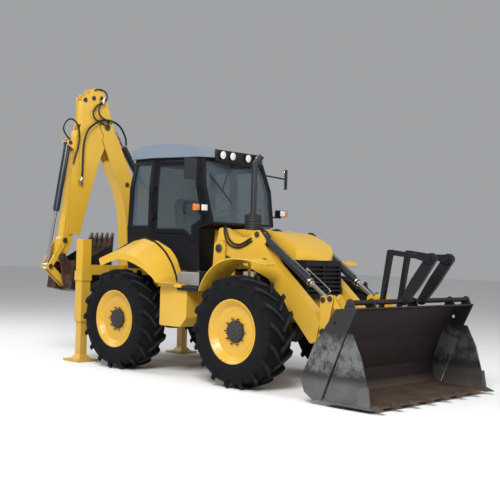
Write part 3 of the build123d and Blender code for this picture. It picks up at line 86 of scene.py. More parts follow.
def at(x: float, y: float, z: float) -> Vector:
    """A place given about the front axle's ground point."""
    return DATUM + Vector((x, y, z))


def hoe(reach: float, height: float, across: float = 0.0) -> Vector:
    """A place in the digging arm's plane: reach out from the slewing axis, height, and across it."""
    return Vector((SLEW.x + across, SLEW.y - reach, height))


# ================================================================ shader graphs
def arithmetic(kind: str, swapped: bool = False) -> Callable[["Val", Any], "Val"]:
    """An operator of Val that adds a Math node of this kind."""
    def operator(value: "Val", other: Any) -> "Val":
        """The Math node's result."""
        first, second = (other, value) if swapped else (value, other)
        return value.math(kind, first, second)
    return operator


class Val:
    """A shader value with arithmetic: an expression on it adds its Math nodes."""

    def __init__(self, graph: "Graph", socket: bpy.types.NodeSocket) -> None:
        """Keep the socket and the graph it belongs to."""
        self.graph = graph
        self.socket = socket

    def math(self, operation: str, first: Any, second: Any = 0.0, clamp: bool = False) -> "Val":
        """One Math node on two values."""
        made = self.graph.node("ShaderNodeMath", {"operation": operation, "use_clamp": clamp},
                               {0: first, 1: second})
        return Val(self.graph, made.outputs[0])

    __add__ = __radd__ = arithmetic("ADD")
    __mul__ = __rmul__ = arithmetic("MULTIPLY")
    __sub__ = arithmetic("SUBTRACT")
    __rsub__ = arithmetic("SUBTRACT", swapped=True)
    __pow__ = arithmetic("POWER")

    def clamped(self) -> "Val":
        """The value kept between 0 and 1."""
        return self.math("ADD", self, 0.0, clamp=True)

    def absolute(self) -> "Val":
        """The value without its sign."""
        return self.math("ABSOLUTE", self)

    def sine(self) -> "Val":
        """The sine of the value, in radians."""
        return self.math("SINE", self)

    def step(self, low: float, high: float) -> "Val":
        """A smooth ramp from 0 at low to 1 at high, which may be the smaller of the two."""
        made = self.graph.node("ShaderNodeMapRange", {"interpolation_type": "SMOOTHSTEP"},
                               {"Value": self, "From Min": low, "From Max": high,
                                "To Min": 0.0, "To Max": 1.0})
        return Val(self.graph, made.outputs["Result"])


class Graph:
    """A material's node tree, with the few patterns that the finishes share."""

    def __init__(self, name: str) -> None:
        """Start an empty material of that name."""
        self.material = bpy.data.materials.new(name)
        self.material.use_nodes = True
        self.tree = self.material.node_tree
        self.tree.nodes.clear()

    def node(self, kind: str, settings: dict[str, Any] | None = None,
             inputs: dict[str | int, Any] | None = None) -> bpy.types.Node:
        """Add a node.

        Args:
            kind: The node's type.
            settings: Its own settings, set first; "stops" gives a ramp's places and colours.
            inputs: Values or links of its sockets, by name or number.

        Returns:
            The node.
        """
        made = self.tree.nodes.new(kind)
        for key, value in (settings or {}).items():
            if key == "stops":
                ramp = made.color_ramp.elements
                while len(ramp) < len(value):
                    ramp.new(0.5)
                for element, (place, colour) in zip(ramp, value):
                    element.position = place
                    element.color = (*colour, 1.0)
            else:
                setattr(made, key, value)
        for key, value in (inputs or {}).items():
            socket = made.inputs[key]
            if isinstance(value, Val):
                self.tree.links.new(value.socket, socket)
            elif isinstance(value, bpy.types.NodeSocket):
                self.tree.links.new(value, socket)
            else:
                socket.default_value = (*value, 1.0) if socket.type == "RGBA" and len(value) == 3 else value
        return made

    def coords(self, stretch: Point = (1.0, 1.0, 1.0)) -> Val:
        """Object coordinates, stretched."""
        source = self.node("ShaderNodeTexCoord").outputs["Object"]
        made = self.node("ShaderNodeMapping", {"vector_type": "POINT"},
                         {"Vector": source, "Scale": stretch})
        return Val(self, made.outputs["Vector"])

    def axes(self, vector: Val | None = None) -> tuple[Val, Val, Val]:
        """The three components of a vector, by default of the object coordinates."""
        made = self.node("ShaderNodeSeparateXYZ", None, {"Vector": vector or self.coords()})
        return Val(self, made.outputs[0]), Val(self, made.outputs[1]), Val(self, made.outputs[2])

    def upward(self) -> Val:
        """How far the surface faces up."""
        normal = self.node("ShaderNodeNewGeometry").outputs["Normal"]
        return self.axes(Val(self, normal))[2]

    def noise(self, scale: float, detail: float = 3.0, rough: float = 0.55,
              stretch: Point = (1.0, 1.0, 1.0)) -> Val:
        """Cloudy variation about 0.5."""
        made = self.node("ShaderNodeTexNoise", {"noise_dimensions": "3D"},
                         {"Vector": self.coords(stretch), "Scale": scale, "Detail": detail,
                          "Roughness": rough})
        return Val(self, made.outputs[0])

    def worn_edges(self, radius: float) -> Val:
        """1 on sharp outside edges, 0 on flats."""
        true_normal = self.node("ShaderNodeNewGeometry").outputs["Normal"]
        soft = self.node("ShaderNodeBevel", {"samples": 4}, {"Radius": radius}).outputs[0]
        made = self.node("ShaderNodeVectorMath", {"operation": "DOT_PRODUCT"}, {0: true_normal, 1: soft})
        return 1.0 - Val(self, made.outputs["Value"])

    def occlusion_mask(self, reach: float) -> Val:
        """1 where ambient light is blocked, deep in corners, 0 in the open."""
        made = self.node("ShaderNodeAmbientOcclusion", {"samples": 4}, {"Distance": reach})
        return 1.0 - Val(self, made.outputs["AO"])

    def blend(self, amount: Any, low: Any, high: Any) -> Val:
        """Mix two colours."""
        made = self.node("ShaderNodeMix", {"data_type": "RGBA"}, {0: amount, 6: low, 7: high})
        return Val(self, made.outputs[2])

    def finish(self, colour: Any, rough: Any, metal: Any = 0.0, bump: Val | None = None, depth: float = 0.001,
               round_edges: float = 0.0, **fixed: Any) -> bpy.types.Material:
        """Join everything in one surface shader.

        Args:
            colour: Base colour, fixed or linked.
            rough: Roughness, fixed or linked.
            metal: Metallic, fixed or linked.
            bump: A height between 0 and 1, or nothing.
            depth: How deep that height is, in metres.
            round_edges: Radius by which sharp edges look rounded.
            fixed: Further numbers or colours, set on the shader's own sockets, with _ for a space.

        Returns:
            The finished material.
        """
        inputs: dict[str | int, Any] = {"Base Color": colour, "Roughness": rough, "Metallic": metal}
        for key, value in fixed.items():
            inputs[key.replace("_", " ")] = value
        normal = None
        if round_edges:
            normal = self.node("ShaderNodeBevel", {"samples": 4}, {"Radius": round_edges}).outputs[0]
        if bump is not None:
            links: dict[str | int, Any] = {"Height": bump, "Distance": depth, "Strength": 0.6}
            if normal is not None:
                links["Normal"] = normal
            normal = self.node("ShaderNodeBump", None, links).outputs[0]
        if normal is not None:
            inputs["Normal"] = normal
        shader = self.node("ShaderNodeBsdfPrincipled", None, inputs)
        self.node("ShaderNodeOutputMaterial", None, {"Surface": shader.outputs[0]})
        return self.material


# ================================================================ finishes
DUST: Colour = (0.33, 0.27, 0.19)
# Dark brown for grime runs, and for painted shade in corners.
GRIME_AND_SHADE: Colour = (0.035, 0.027, 0.018)
RUST: Colour = (0.16, 0.055, 0.02)
BARE_STEEL: Colour = (0.30, 0.29, 0.28)


@dataclass(frozen=True)
class Enamel:
    """Machine enamel: dusty low down, darkened in corners by painted shade and grime, chipped on edges."""

    name: str
    colour: Colour
    under: Colour = (0.10, 0.06, 0.035)
    gloss: float = 0.32
    dust: float = 0.5
    wear: float = 0.6
    coat: float = 0.15
    shine: float = 0.5

    def build(self) -> bpy.types.Material:
        """The material."""
        g = Graph(self.name)
        height = g.axes()[2]
        patches = g.noise(3.0, 4.0, 0.6)
        speckle = g.noise(42.0, 4.0, 0.7)
        streaks = g.noise(10.0, 3.0, 0.6, (1.0, 1.0, 0.09))
        base = g.blend((patches - 0.35) * 0.9, self.colour, tuple(c * 0.84 for c in self.colour))
        low_down = height.step(1.5, 0.2)
        settled = g.upward().step(0.45, 1.0) * 0.35
        dusty = ((low_down * 0.9 + settled) * (patches * 1.3 - 0.18) * (speckle + 0.35) * self.dust).clamped()
        base = g.blend(dusty, base, DUST)
        # Painted shade with some grime: darker brown where ambient light is occluded in corners, broken up by
        # streaks.
        shade_and_grime = (g.occlusion_mask(0.12).step(0.25, 0.95) * (streaks + 0.25) * 0.85).clamped()
        base = g.blend(shade_and_grime, base, GRIME_AND_SHADE)
        run = (streaks.step(0.60, 0.78) * low_down.step(0.0, 0.9) * 0.35).clamped()
        base = g.blend(run, base, GRIME_AND_SHADE)
        chipped = (g.worn_edges(0.006) * 3.2 * (speckle - 0.38)).step(0.16, 0.3) * self.wear
        spots = g.noise(16.0, 6.0, 0.75).step(0.70, 0.735) * (0.25 + low_down) * self.wear
        worn = (chipped + spots).clamped()
        base = g.blend(worn, base, self.under)
        rough = (self.gloss + dusty * 0.45 + shade_and_grime * 0.35 + worn * 0.3 + speckle * 0.08).clamped()
        bump = speckle * 0.25 + patches * 0.2 + (1.0 - worn) * 0.5
        return g.finish(base, rough, 0.0, bump, 0.0012, round_edges=0.005, Coat_Weight=self.coat,
                        Coat_Roughness=0.12, Specular_IOR_Level=self.shine)


@dataclass(frozen=True)
class BucketSteel:
    """Black bucket plate: scraped grey outside, rusty brown where earth slides over it."""

    name: str
    inner_half: float
    centre_y: float
    polished: float = 0.55

    def build(self) -> bpy.types.Material:
        """The material."""
        g = Graph(self.name)
        _, across, height = g.axes()
        inside = (across - self.centre_y).absolute().step(self.inner_half + 0.004, self.inner_half - 0.004)
        clouds = g.noise(4.0, 5.0, 0.65)
        grit = g.noise(60.0, 4.0, 0.7)
        scratch = g.noise(11.0, 6.0, 0.8, (1.3, 1.3, 1.0))
        drag = g.noise(14.0, 4.0, 0.7, (0.35, 5.0, 1.6))
        black = g.blend(grit * 0.7, (0.012, 0.012, 0.015), (0.035, 0.034, 0.038))
        belt = height.step(0.90, 0.62) * height.step(0.25, 0.45)
        scraped = ((scratch * 1.25 + clouds * 0.6 - 0.62) * belt * 1.6).step(0.12, 0.62) * (grit + 0.45)
        side = g.blend((scraped * self.polished).clamped(), black, (0.26, 0.26, 0.27))
        side = g.blend((height.step(0.34, 0.22) * (clouds * 0.8 + 0.15)).clamped(), side, (0.17, 0.165, 0.16))
        earthy = g.blend((clouds * 1.6 - 0.35).clamped(), (0.010, 0.007, 0.006), (0.030, 0.017, 0.013))
        dragged = (drag.step(0.52, 0.72) * 0.55 * height.step(1.0, 0.3)).clamped()
        earthy = g.blend(dragged, earthy, (0.055, 0.055, 0.06))
        caked = ((1.0 - height.step(0.06, 0.20)) * (clouds + 0.3) * 0.8).clamped()
        earthy = g.blend(caked, earthy, (0.13, 0.085, 0.055))
        colour = g.blend(inside, side, earthy)
        edge = (g.worn_edges(0.008) * 3.0 * (grit - 0.3)).step(0.15, 0.3) * 0.7
        colour = g.blend(edge, colour, (0.26, 0.24, 0.23))
        rough = (0.42 + clouds * 0.28 + grit * 0.12 - edge * 0.15).clamped()
        bump = grit * 0.35 + clouds * 0.4 + scratch * 0.25
        return g.finish(colour, rough, 0.35, bump, 0.003, round_edges=0.006)


@dataclass(frozen=True)
class DigSteel:
    """Digging bucket: rusty wrapper and teeth, black outer cheeks and ears."""

    name: str
    centre_x: float
    inner_half: float
    brown: Colour = (0.10, 0.048, 0.028)

    def build(self) -> bpy.types.Material:
        """The material."""
        g = Graph(self.name)
        across, _, height = g.axes()
        outer = (across - self.centre_x).absolute().step(self.inner_half - 0.003, self.inner_half + 0.003)
        clouds, grit = g.noise(6.0, 5.0, 0.65), g.noise(70.0, 4.0, 0.7)
        rusty = g.blend(clouds.step(0.35, 0.7), tuple(c * 0.3 for c in self.brown), self.brown)
        rusty = g.blend((grit.step(0.55, 0.8) * 0.5).clamped(), rusty, (0.19, 0.12, 0.075))
        black = g.blend(grit * 0.7, (0.008, 0.009, 0.012), (0.026, 0.027, 0.031))
        scuffed = (g.noise(11.0, 5.0, 0.75).step(0.56, 0.72) * 0.45).clamped()
        black = g.blend(scuffed, black, (0.11, 0.09, 0.08))
        teeth = height.step(1.60, 1.64)
        colour = g.blend((outer * (1.0 - teeth)).clamped(), rusty, black)
        edge = (g.worn_edges(0.006) * 3.0 * (grit - 0.25)).step(0.12, 0.3) * 0.6
        colour = g.blend(edge, colour, BARE_STEEL)
        return g.finish(colour, (0.45 + clouds * 0.3).clamped(), 0.3, grit * 0.5 + clouds * 0.5, 0.003,
                        round_edges=0.006)


@dataclass(frozen=True)
class TyreRubber:
    """Tyre rubber: ribbed sidewall, and paler lug tops that dust clings to."""

    name: str
    hub_x: float
    hub_z: float
    crown: float

    def build(self) -> bpy.types.Material:
        """The material."""
        g = Graph(self.name)
        x, _, z = g.axes()
        dx, dz = x - self.hub_x, z - self.hub_z
        radius = (dx * dx + dz * dz) ** 0.5
        clouds, grit = g.noise(7.0, 4.0, 0.6), g.noise(120.0, 3.0, 0.7)
        tread = radius.step(self.crown + 0.012, self.crown + 0.028)
        colour = g.blend(clouds, (0.0026, 0.0028, 0.0038), (0.0052, 0.0055, 0.0070))
        dusty = ((tread * 0.85 + 0.05) * (clouds * 1.4 - 0.2) * (grit + 0.35)).clamped()
        colour = g.blend(dusty, colour, (0.042, 0.042, 0.046))
        mud = (g.occlusion_mask(0.06).step(0.3, 0.9) * clouds.step(0.45, 0.7) * 0.35).clamped()
        colour = g.blend(mud, colour, (0.06, 0.045, 0.03))
        rings = (radius * 420.0).sine() * radius.step(self.crown - 0.09, self.crown - 0.11)
        bump = grit * 0.35 + clouds * 0.2 + rings * radius.step(self.crown - 0.20, self.crown - 0.18) * 0.2
        return g.finish(colour, (0.62 + clouds * 0.2 + dusty * 0.2).clamped(), 0.0, bump, 0.002,
                        round_edges=0.006, Specular_IOR_Level=0.14)


@dataclass(frozen=True)
class Rim:
    """Wheel rim: enamel dish round a black planetary hub."""

    name: str
    enamel: Enamel
    hub_x: float
    hub_z: float
    hub_radius: float

    def build(self) -> bpy.types.Material:
        """The material."""
        g = Graph(self.name)
        x, _, z = g.axes()
        dx, dz = x - self.hub_x, z - self.hub_z
        radius = (dx * dx + dz * dz) ** 0.5
        clouds, grit = g.noise(6.0, 4.0, 0.6), g.noise(55.0, 4.0, 0.7)
        paint = g.blend((clouds - 0.3) * 0.8, self.enamel.colour, tuple(c * 0.8 for c in self.enamel.colour))
        # Painted shade with some grime: dark brown where ambient light is occluded in the dish's corners.
        shade_and_grime = (g.occlusion_mask(0.16).step(0.35, 0.95) * (clouds + 0.3) * 0.6).clamped()
        paint = g.blend(shade_and_grime, paint, (0.10, 0.06, 0.025))
        specks = grit.step(0.62, 0.72) * 0.25
        paint = g.blend(specks, paint, (0.12, 0.07, 0.03))
        hub = radius.step(self.hub_radius + 0.004, self.hub_radius)
        black = g.blend(grit, (0.008, 0.008, 0.009), (0.03, 0.026, 0.022))
        black = g.blend((clouds.step(0.5, 0.75) * 0.4).clamped(), black, (0.06, 0.035, 0.02))
        colour = g.blend(hub, paint, black)
        rough = (0.34 + shade_and_grime * 0.4 + hub * 0.18 + grit * 0.1).clamped()
        return g.finish(colour, rough, 0.0, grit * 0.3 + clouds * 0.3, 0.0015, round_edges=0.005,
                        Coat_Weight=0.2, Coat_Roughness=0.15)


@dataclass(frozen=True)
class Plain:
    """A simple grained or smooth material: plastic, hose, lens, chrome, cast iron."""

    name: str
    colour: Colour
    rough: float
    metal: float = 0.0
    grain: float = 90.0
    depth: float = 0.0006
    vary: float = 0.35
    dust: float = 0.12
    extras: tuple[tuple[str, float], ...] = ()

    def build(self) -> bpy.types.Material:
        """The material."""
        g = Graph(self.name)
        clouds, grain = g.noise(6.0, 4.0, 0.6), g.noise(self.grain, 3.0, 0.6)
        colour = g.blend(clouds * self.vary, self.colour, tuple(c * 0.6 for c in self.colour))
        dusty = ((clouds * 1.3 - 0.3) * (g.upward().step(0.2, 1.0) + 0.35) * self.dust).clamped()
        colour = g.blend(dusty, colour, DUST)
        rough = (self.rough + (clouds - 0.5) * 0.15 + dusty * 0.4).clamped()
        return g.finish(colour, rough, self.metal, grain * 0.6 + clouds * 0.2, self.depth, round_edges=0.003,
                        **dict(self.extras))


@dataclass(frozen=True)
class Glazing:
    """Tinted cab glass: see-through, with a dusty film towards its lower edge."""

    name: str
    tint: Colour = (0.075, 0.105, 0.13)
    alpha: float = 0.62

    def build(self) -> bpy.types.Material:
        """The material."""
        g = Graph(self.name)
        height = g.axes()[2]
        clouds = g.noise(2.5, 3.0, 0.6)
        film = (height.step(2.5, 1.8) * 0.10 + clouds * 0.12).clamped()
        colour = g.blend(film, self.tint, (0.30, 0.33, 0.35))
        alpha = (self.alpha + film * 0.8).clamped()
        return g.finish(colour, (0.03 + film * 0.35).clamped(), 0.0, None, Alpha=alpha, Coat_Weight=0.25,
                        Coat_Roughness=0.03, Specular_IOR_Level=0.45)


YELLOW = Enamel("golden_enamel", (0.65, 0.385, 0.030), dust=0.45, wear=0.45)
RIM_YELLOW = Enamel("rim_enamel", (0.62, 0.36, 0.030))
BLACK = Enamel("black_enamel", (0.005, 0.0055, 0.008), under=(0.09, 0.075, 0.065), gloss=0.42,
               dust=0.12, wear=0.5, coat=0.0, shine=0.22)
NAVY = Enamel("cylinder_enamel", (0.014, 0.02, 0.03), under=(0.12, 0.12, 0.12), gloss=0.24,
              dust=0.25, wear=0.35)
FORK = Enamel("fork_enamel", (0.007, 0.007, 0.010), under=(0.09, 0.05, 0.033), gloss=0.42,
              dust=0.22, wear=0.9, coat=0.0, shine=0.25)
CAB_PAINT = Enamel("cab_enamel", (0.004, 0.0045, 0.007), under=(0.03, 0.03, 0.03), gloss=0.30,
                   dust=0.06, wear=0.15, coat=0.0, shine=0.22)
ROOF = Plain("roof_plastic", (0.165, 0.21, 0.26), 0.40, dust=0.15, vary=0.25)
TRIM = Plain("black_plastic", (0.006, 0.0065, 0.008), 0.46, dust=0.04, extras=(("Specular_IOR_Level", 0.25),))
SEAL = Plain("window_seal", (0.004, 0.004, 0.005), 0.62, dust=0.03, extras=(("Specular_IOR_Level", 0.2),))
HOSE = Plain("hose_rubber", (0.006, 0.006, 0.007), 0.42, grain=260.0, depth=0.0004, dust=0.05,
             extras=(("Specular_IOR_Level", 0.3),))
CHROME = Plain("hard_chrome", (0.78, 0.79, 0.80), 0.10, metal=1.0, depth=0.0001, vary=0.12, dust=0.05)
FITTING = Plain("zinc_fitting", (0.55, 0.53, 0.48), 0.30, metal=1.0, vary=0.5)
CAST = Plain("cast_iron", (0.035, 0.034, 0.034), 0.62, metal=0.3, grain=45.0, depth=0.002)
STACK = Plain("stack_steel", (0.030, 0.032, 0.036), 0.45, metal=0.5, grain=45.0, depth=0.001)
LENS = Plain("clear_lens", (0.72, 0.73, 0.74), 0.10, depth=0.0003, dust=0.05, extras=(("Coat_Weight", 0.8),))
AMBER = Plain("amber_lens", (0.75, 0.17, 0.01), 0.16, depth=0.0004, extras=(("Coat_Weight", 0.6),))
MIRROR = Plain("mirror_face", (0.80, 0.82, 0.84), 0.03, metal=1.0, depth=0.0, vary=0.05, dust=0.02)
STEP = Plain("step_alloy", (0.42, 0.41, 0.39), 0.38, metal=0.85, dust=0.35)
FABRIC = Plain("seat_fabric", (0.028, 0.032, 0.040), 0.85, grain=420.0, depth=0.0012, vary=0.5)
GLASS = Glazing("tinted_glass", tint=(0.020, 0.036, 0.046), alpha=0.34)
SCREEN = Glazing("tinted_screen", tint=(0.060, 0.092, 0.112), alpha=0.42)


class Library:
    """Builds each finish once."""

    def __init__(self) -> None:
        """Start empty."""
        self.made: dict[str, bpy.types.Material] = {}

    def get(self, finish: Any) -> bpy.types.Material:
        """The finish's material."""
        if finish.name not in self.made:
            self.made[finish.name] = finish.build()
        return self.made[finish.name]


LIBRARY = Library()


def coat(finish: Any, *nodes: str) -> None:
    """Give CAD nodes a finish."""
    for node in nodes:
        slots = frame["nodes"][node].material_slots
        for slot in slots:
            slot.link = "OBJECT"
            slot.material = LIBRARY.get(finish)
        if not slots:
            frame["nodes"][node].data.materials.append(LIBRARY.get(finish))


# ================================================================ mesh helpers
def link(name: str, data: Any) -> bpy.types.Object:
    """A new object in the scene."""
    made = bpy.data.objects.new(name, data)
    bpy.context.scene.collection.objects.link(made)
    return made


def circle(centre: Vector, first: Vector, second: Vector, radius: float, count: int) -> list[Vector]:
    """Points evenly round a circle, from the first of its two axes towards the second."""
    turns = (2 * pi * i / count for i in range(count))
    return [centre + first * (radius * cos(a)) + second * (radius * sin(a)) for a in turns]


class Solid:
    """A mesh under construction, for one body, in one finish."""

    def __init__(self, name: str, body: str, finish: Any, slot: str = "trim_plastic") -> None:
        """Start an empty mesh that will ride on the body."""
        self.name, self.body, self.finish, self.slot = name, body, finish, slot
        self.mesh = bmesh.new()

    def ring_stack(self, rings: Sequence[Sequence[Vector]]) -> None:
        """Skin a row of equal rings of points, closed at both ends."""
        rows = [[self.mesh.verts.new(point) for point in ring] for ring in rings]
        count = len(rows[0])
        for near, far in zip(rows, rows[1:]):
            for i in range(count):
                j = (i + 1) % count
                self.mesh.faces.new((near[i], near[j], far[j], far[i]))
        self.mesh.faces.new(list(reversed(rows[0])))
        self.mesh.faces.new(rows[-1])

    def lathe(self, start: Vector, axis: Vector, profile: Sequence[tuple[float, float]],
              sides: int = 24) -> None:
        """Turn a profile of (distance along the axis, radius) about the axis."""
        frame_axis = axis.normalized()
        across = frame_axis.orthogonal().normalized()
        third = frame_axis.cross(across)
        self.ring_stack([circle(start + frame_axis * distance, across, third, radius, sides)
                         for distance, radius in profile])

    def slab(self, centre: Vector, size: Point, rounding: float = 0.0, turn: Matrix | None = None) -> None:
        """A block with rounded edges."""
        made = bmesh.ops.create_cube(self.mesh, size=1.0)
        verts = made["verts"]
        bmesh.ops.scale(self.mesh, vec=Vector(size), verts=verts)
        if rounding:
            edges = list(dict.fromkeys(edge for vert in verts for edge in vert.link_edges))
            out = bmesh.ops.bevel(self.mesh, geom=edges + verts, offset=rounding, segments=3, profile=0.5,
                                  affect="EDGES")
            verts = list(dict.fromkeys([*out["verts"], *(v for v in verts if v.is_valid)]))
        if turn is not None:
            bmesh.ops.rotate(self.mesh, cent=(0, 0, 0), matrix=turn, verts=verts)
        bmesh.ops.translate(self.mesh, vec=centre, verts=verts)

    def tube(self, path: Sequence[Vector], radius: float, sides: int = 10, smooth: int = 6) -> None:
        """A round tube along a smooth curve through the points."""
        points = smooth_path(path, smooth) if smooth else list(path)
        rings = []
        side = None
        for i, point in enumerate(points):
            ahead = points[min(i + 1, len(points) - 1)] - points[max(i - 1, 0)]
            ahead.normalize()
            side = ahead.orthogonal() if side is None else (side - ahead * side.dot(ahead))
            side.normalize()
            third = ahead.cross(side)
            rings.append(circle(point, side, third, radius, sides))
        self.ring_stack(rings)

    def done(self) -> bpy.types.Object:
        """Finish the mesh as an object that rides on its body."""
        bmesh.ops.recalc_face_normals(self.mesh, faces=self.mesh.faces)
        data = bpy.data.meshes.new(self.name)
        self.mesh.to_mesh(data)
        self.mesh.free()
        data.materials.append(LIBRARY.get(self.finish))
        made = link(self.name, data)
        data.shade_smooth()
        data.set_sharp_from_angle(angle=SHARP)
        settle(made, self.body)
        return made


def block(name: str, finish: Any, centre: Vector, size: Point, rounding: float,
          turn: Matrix | None = None) -> None:
    """A piece of the chassis that is one rounded block."""
    piece = Solid(name, "chassis", finish)
    piece.slab(centre, size, rounding, turn)
    piece.done()


def tubes(name: str, body: str, finish: Any, runs: Iterable[tuple], slot: str = "trim_plastic") -> None:
    """A piece of tubes, each given as the path, radius, sides and smoothing of Solid.tube."""
    piece = Solid(name, body, finish, slot)
    for run in runs:
        piece.tube(*run)
    piece.done()


def settle(piece: bpy.types.Object, body: str) -> None:
    """Put a finished piece on its body and log its faces."""
    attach(piece, body)
    log.info("%s rides on %s, %d faces", piece.name, body, len(piece.data.polygons))


def smooth_path(points: Sequence[Vector], steps: int) -> list[Vector]:
    """A rounded curve through the points, with this many steps between two of them."""
    ends = [points[0] * 2 - points[1], *points, points[-1] * 2 - points[-2]]
    out: list[Vector] = []
    for a, b, c, d in zip(ends, ends[1:], ends[2:], ends[3:]):
        for k in range(steps):
            t = k / steps
            out.append(0.5 * ((2 * b) + (c - a) * t + (2 * a - 5 * b + 4 * c - d) * t * t
                              + (3 * b - a - 3 * c + d) * t ** 3))
    out.append(points[-1].copy())
    return out


# ================================================================ repeated small things by nodes
class Repeat:
    """A Geometry Nodes tree that sets one small shape on many points, realized as a plain mesh."""

    def __init__(self, name: str) -> None:
        """Start the tree."""
        self.tree = bpy.data.node_groups.new(name, "GeometryNodeTree")
        self.tree.interface.new_socket("Geometry", in_out="INPUT", socket_type="NodeSocketGeometry")
        self.tree.interface.new_socket("Geometry", in_out="OUTPUT", socket_type="NodeSocketGeometry")
        self.inputs = self.tree.nodes.new("NodeGroupInput")
        self.outputs = self.tree.nodes.new("NodeGroupOutput")

    def size(self, name: str, value: float) -> None:
        """Add a named size to the tree's inputs."""
        socket = self.tree.interface.new_socket(name, in_out="INPUT", socket_type="NodeSocketFloat")
        socket.default_value = value

    def add(self, kind: str, settings: dict[str, Any] | None = None,
            links: dict[str | int, Any] | None = None) -> bpy.types.Node:
        """Add a node with its settings, and the values or links of its sockets."""
        made = self.tree.nodes.new(kind)
        for key, value in (settings or {}).items():
            setattr(made, key, value)
        for key, value in (links or {}).items():
            if isinstance(value, bpy.types.NodeSocket):
                self.tree.links.new(value, made.inputs[key])
            else:
                made.inputs[key].default_value = value
        return made


class BoltHead(Enum):
    """What stands on each point."""

    HEX = 6
    ROUND = 16


def bolt_tree(head: BoltHead, finish: Any) -> bpy.types.NodeTree:
    """A tree that puts a headed bolt with its washer on every point, along the point's normal.

    Args:
        head: The number of sides, by name.
        finish: Its material.

    Returns:
        The node tree, with Radius and Height as named inputs.
    """
    r = Repeat(f"bolts_{head.name.lower()}")
    r.size("Radius", 0.01)
    r.size("Height", 0.01)
    size, tall = r.inputs.outputs["Radius"], r.inputs.outputs["Height"]
    body = r.add("GeometryNodeMeshCylinder", {"fill_type": "NGON"},
                 {"Vertices": head.value, "Radius": size, "Depth": tall})
    wide = r.add("ShaderNodeMath", {"operation": "MULTIPLY"}, {0: size, 1: 1.35})
    washer = r.add("GeometryNodeMeshCylinder", {"fill_type": "NGON"},
                   {"Vertices": 16, "Radius": wide.outputs[0], "Depth": 0.005})
    both = r.add("GeometryNodeJoinGeometry")
    half = r.add("ShaderNodeMath", {"operation": "MULTIPLY"}, {0: tall, 1: 0.5})
    lift = r.add("ShaderNodeCombineXYZ", None, {"Z": half.outputs[0]})
    raised = r.add("GeometryNodeTransform", None,
                   {"Geometry": body.outputs["Mesh"], "Translation": lift.outputs[0]})
    r.tree.links.new(raised.outputs[0], both.inputs[0])
    r.tree.links.new(washer.outputs["Mesh"], both.inputs[0])
    normal = r.add("GeometryNodeInputNamedAttribute", {"data_type": "FLOAT_VECTOR"}, {"Name": "facing"})
    turn = r.add("FunctionNodeAlignRotationToVector", {"axis": "Z"}, {"Vector": normal.outputs[0]})
    points = r.add("GeometryNodeMeshToPoints", None, {"Mesh": r.inputs.outputs["Geometry"]})
    spread = r.add("GeometryNodeInstanceOnPoints", None,
                   {"Points": points.outputs[0], "Instance": both.outputs[0], "Rotation": turn.outputs[0]})
    real = r.add("GeometryNodeRealizeInstances", None, {"Geometry": spread.outputs[0]})
    dressed = r.add("GeometryNodeSetMaterial", None,
                    {"Geometry": real.outputs[0], "Material": LIBRARY.get(finish)})
    r.tree.links.new(dressed.outputs[0], r.outputs.inputs[0])
    return r.tree


def bolts(name: str, body: str, spots: Iterable[tuple[Vector, Vector]], head: BoltHead,
          radius: float, height: float, finish: Any) -> bpy.types.Object:
    """Bolt heads on a body.

    Args:
        name: Name of the piece.
        body: The body that it rides on.
        spots: Places and the way each bolt faces.
        head: Kind of head.
        radius: Radius of the head.
        height: Height of the head.
        finish: Material.

    Returns:
        The joined mesh.
    """
    places, facings = zip(*spots)
    points = bpy.data.meshes.new(f"{name}_points")
    points.from_pydata([tuple(p) for p in places], [], [])
    facing = points.attributes.new("facing", "FLOAT_VECTOR", "POINT")
    facing.data.foreach_set("vector", [c for way in facings for c in way.normalized()])
    holder = link(f"{name}_holder", points)
    modifier = holder.modifiers.new("repeat", "NODES")
    modifier.node_group = bolt_tree(head, finish)
    for socket in modifier.node_group.interface.items_tree:
        if socket.name in ("Radius", "Height") and socket.in_out == "INPUT":
            modifier[socket.identifier] = {"Radius": radius, "Height": height}[socket.name]
    graph = bpy.context.evaluated_depsgraph_get()
    data = bpy.data.meshes.new_from_object(holder.evaluated_get(graph), depsgraph=graph)
    bpy.data.objects.remove(holder)
    data.name = name
    made = link(name, data)
    settle(made, body)
    return made


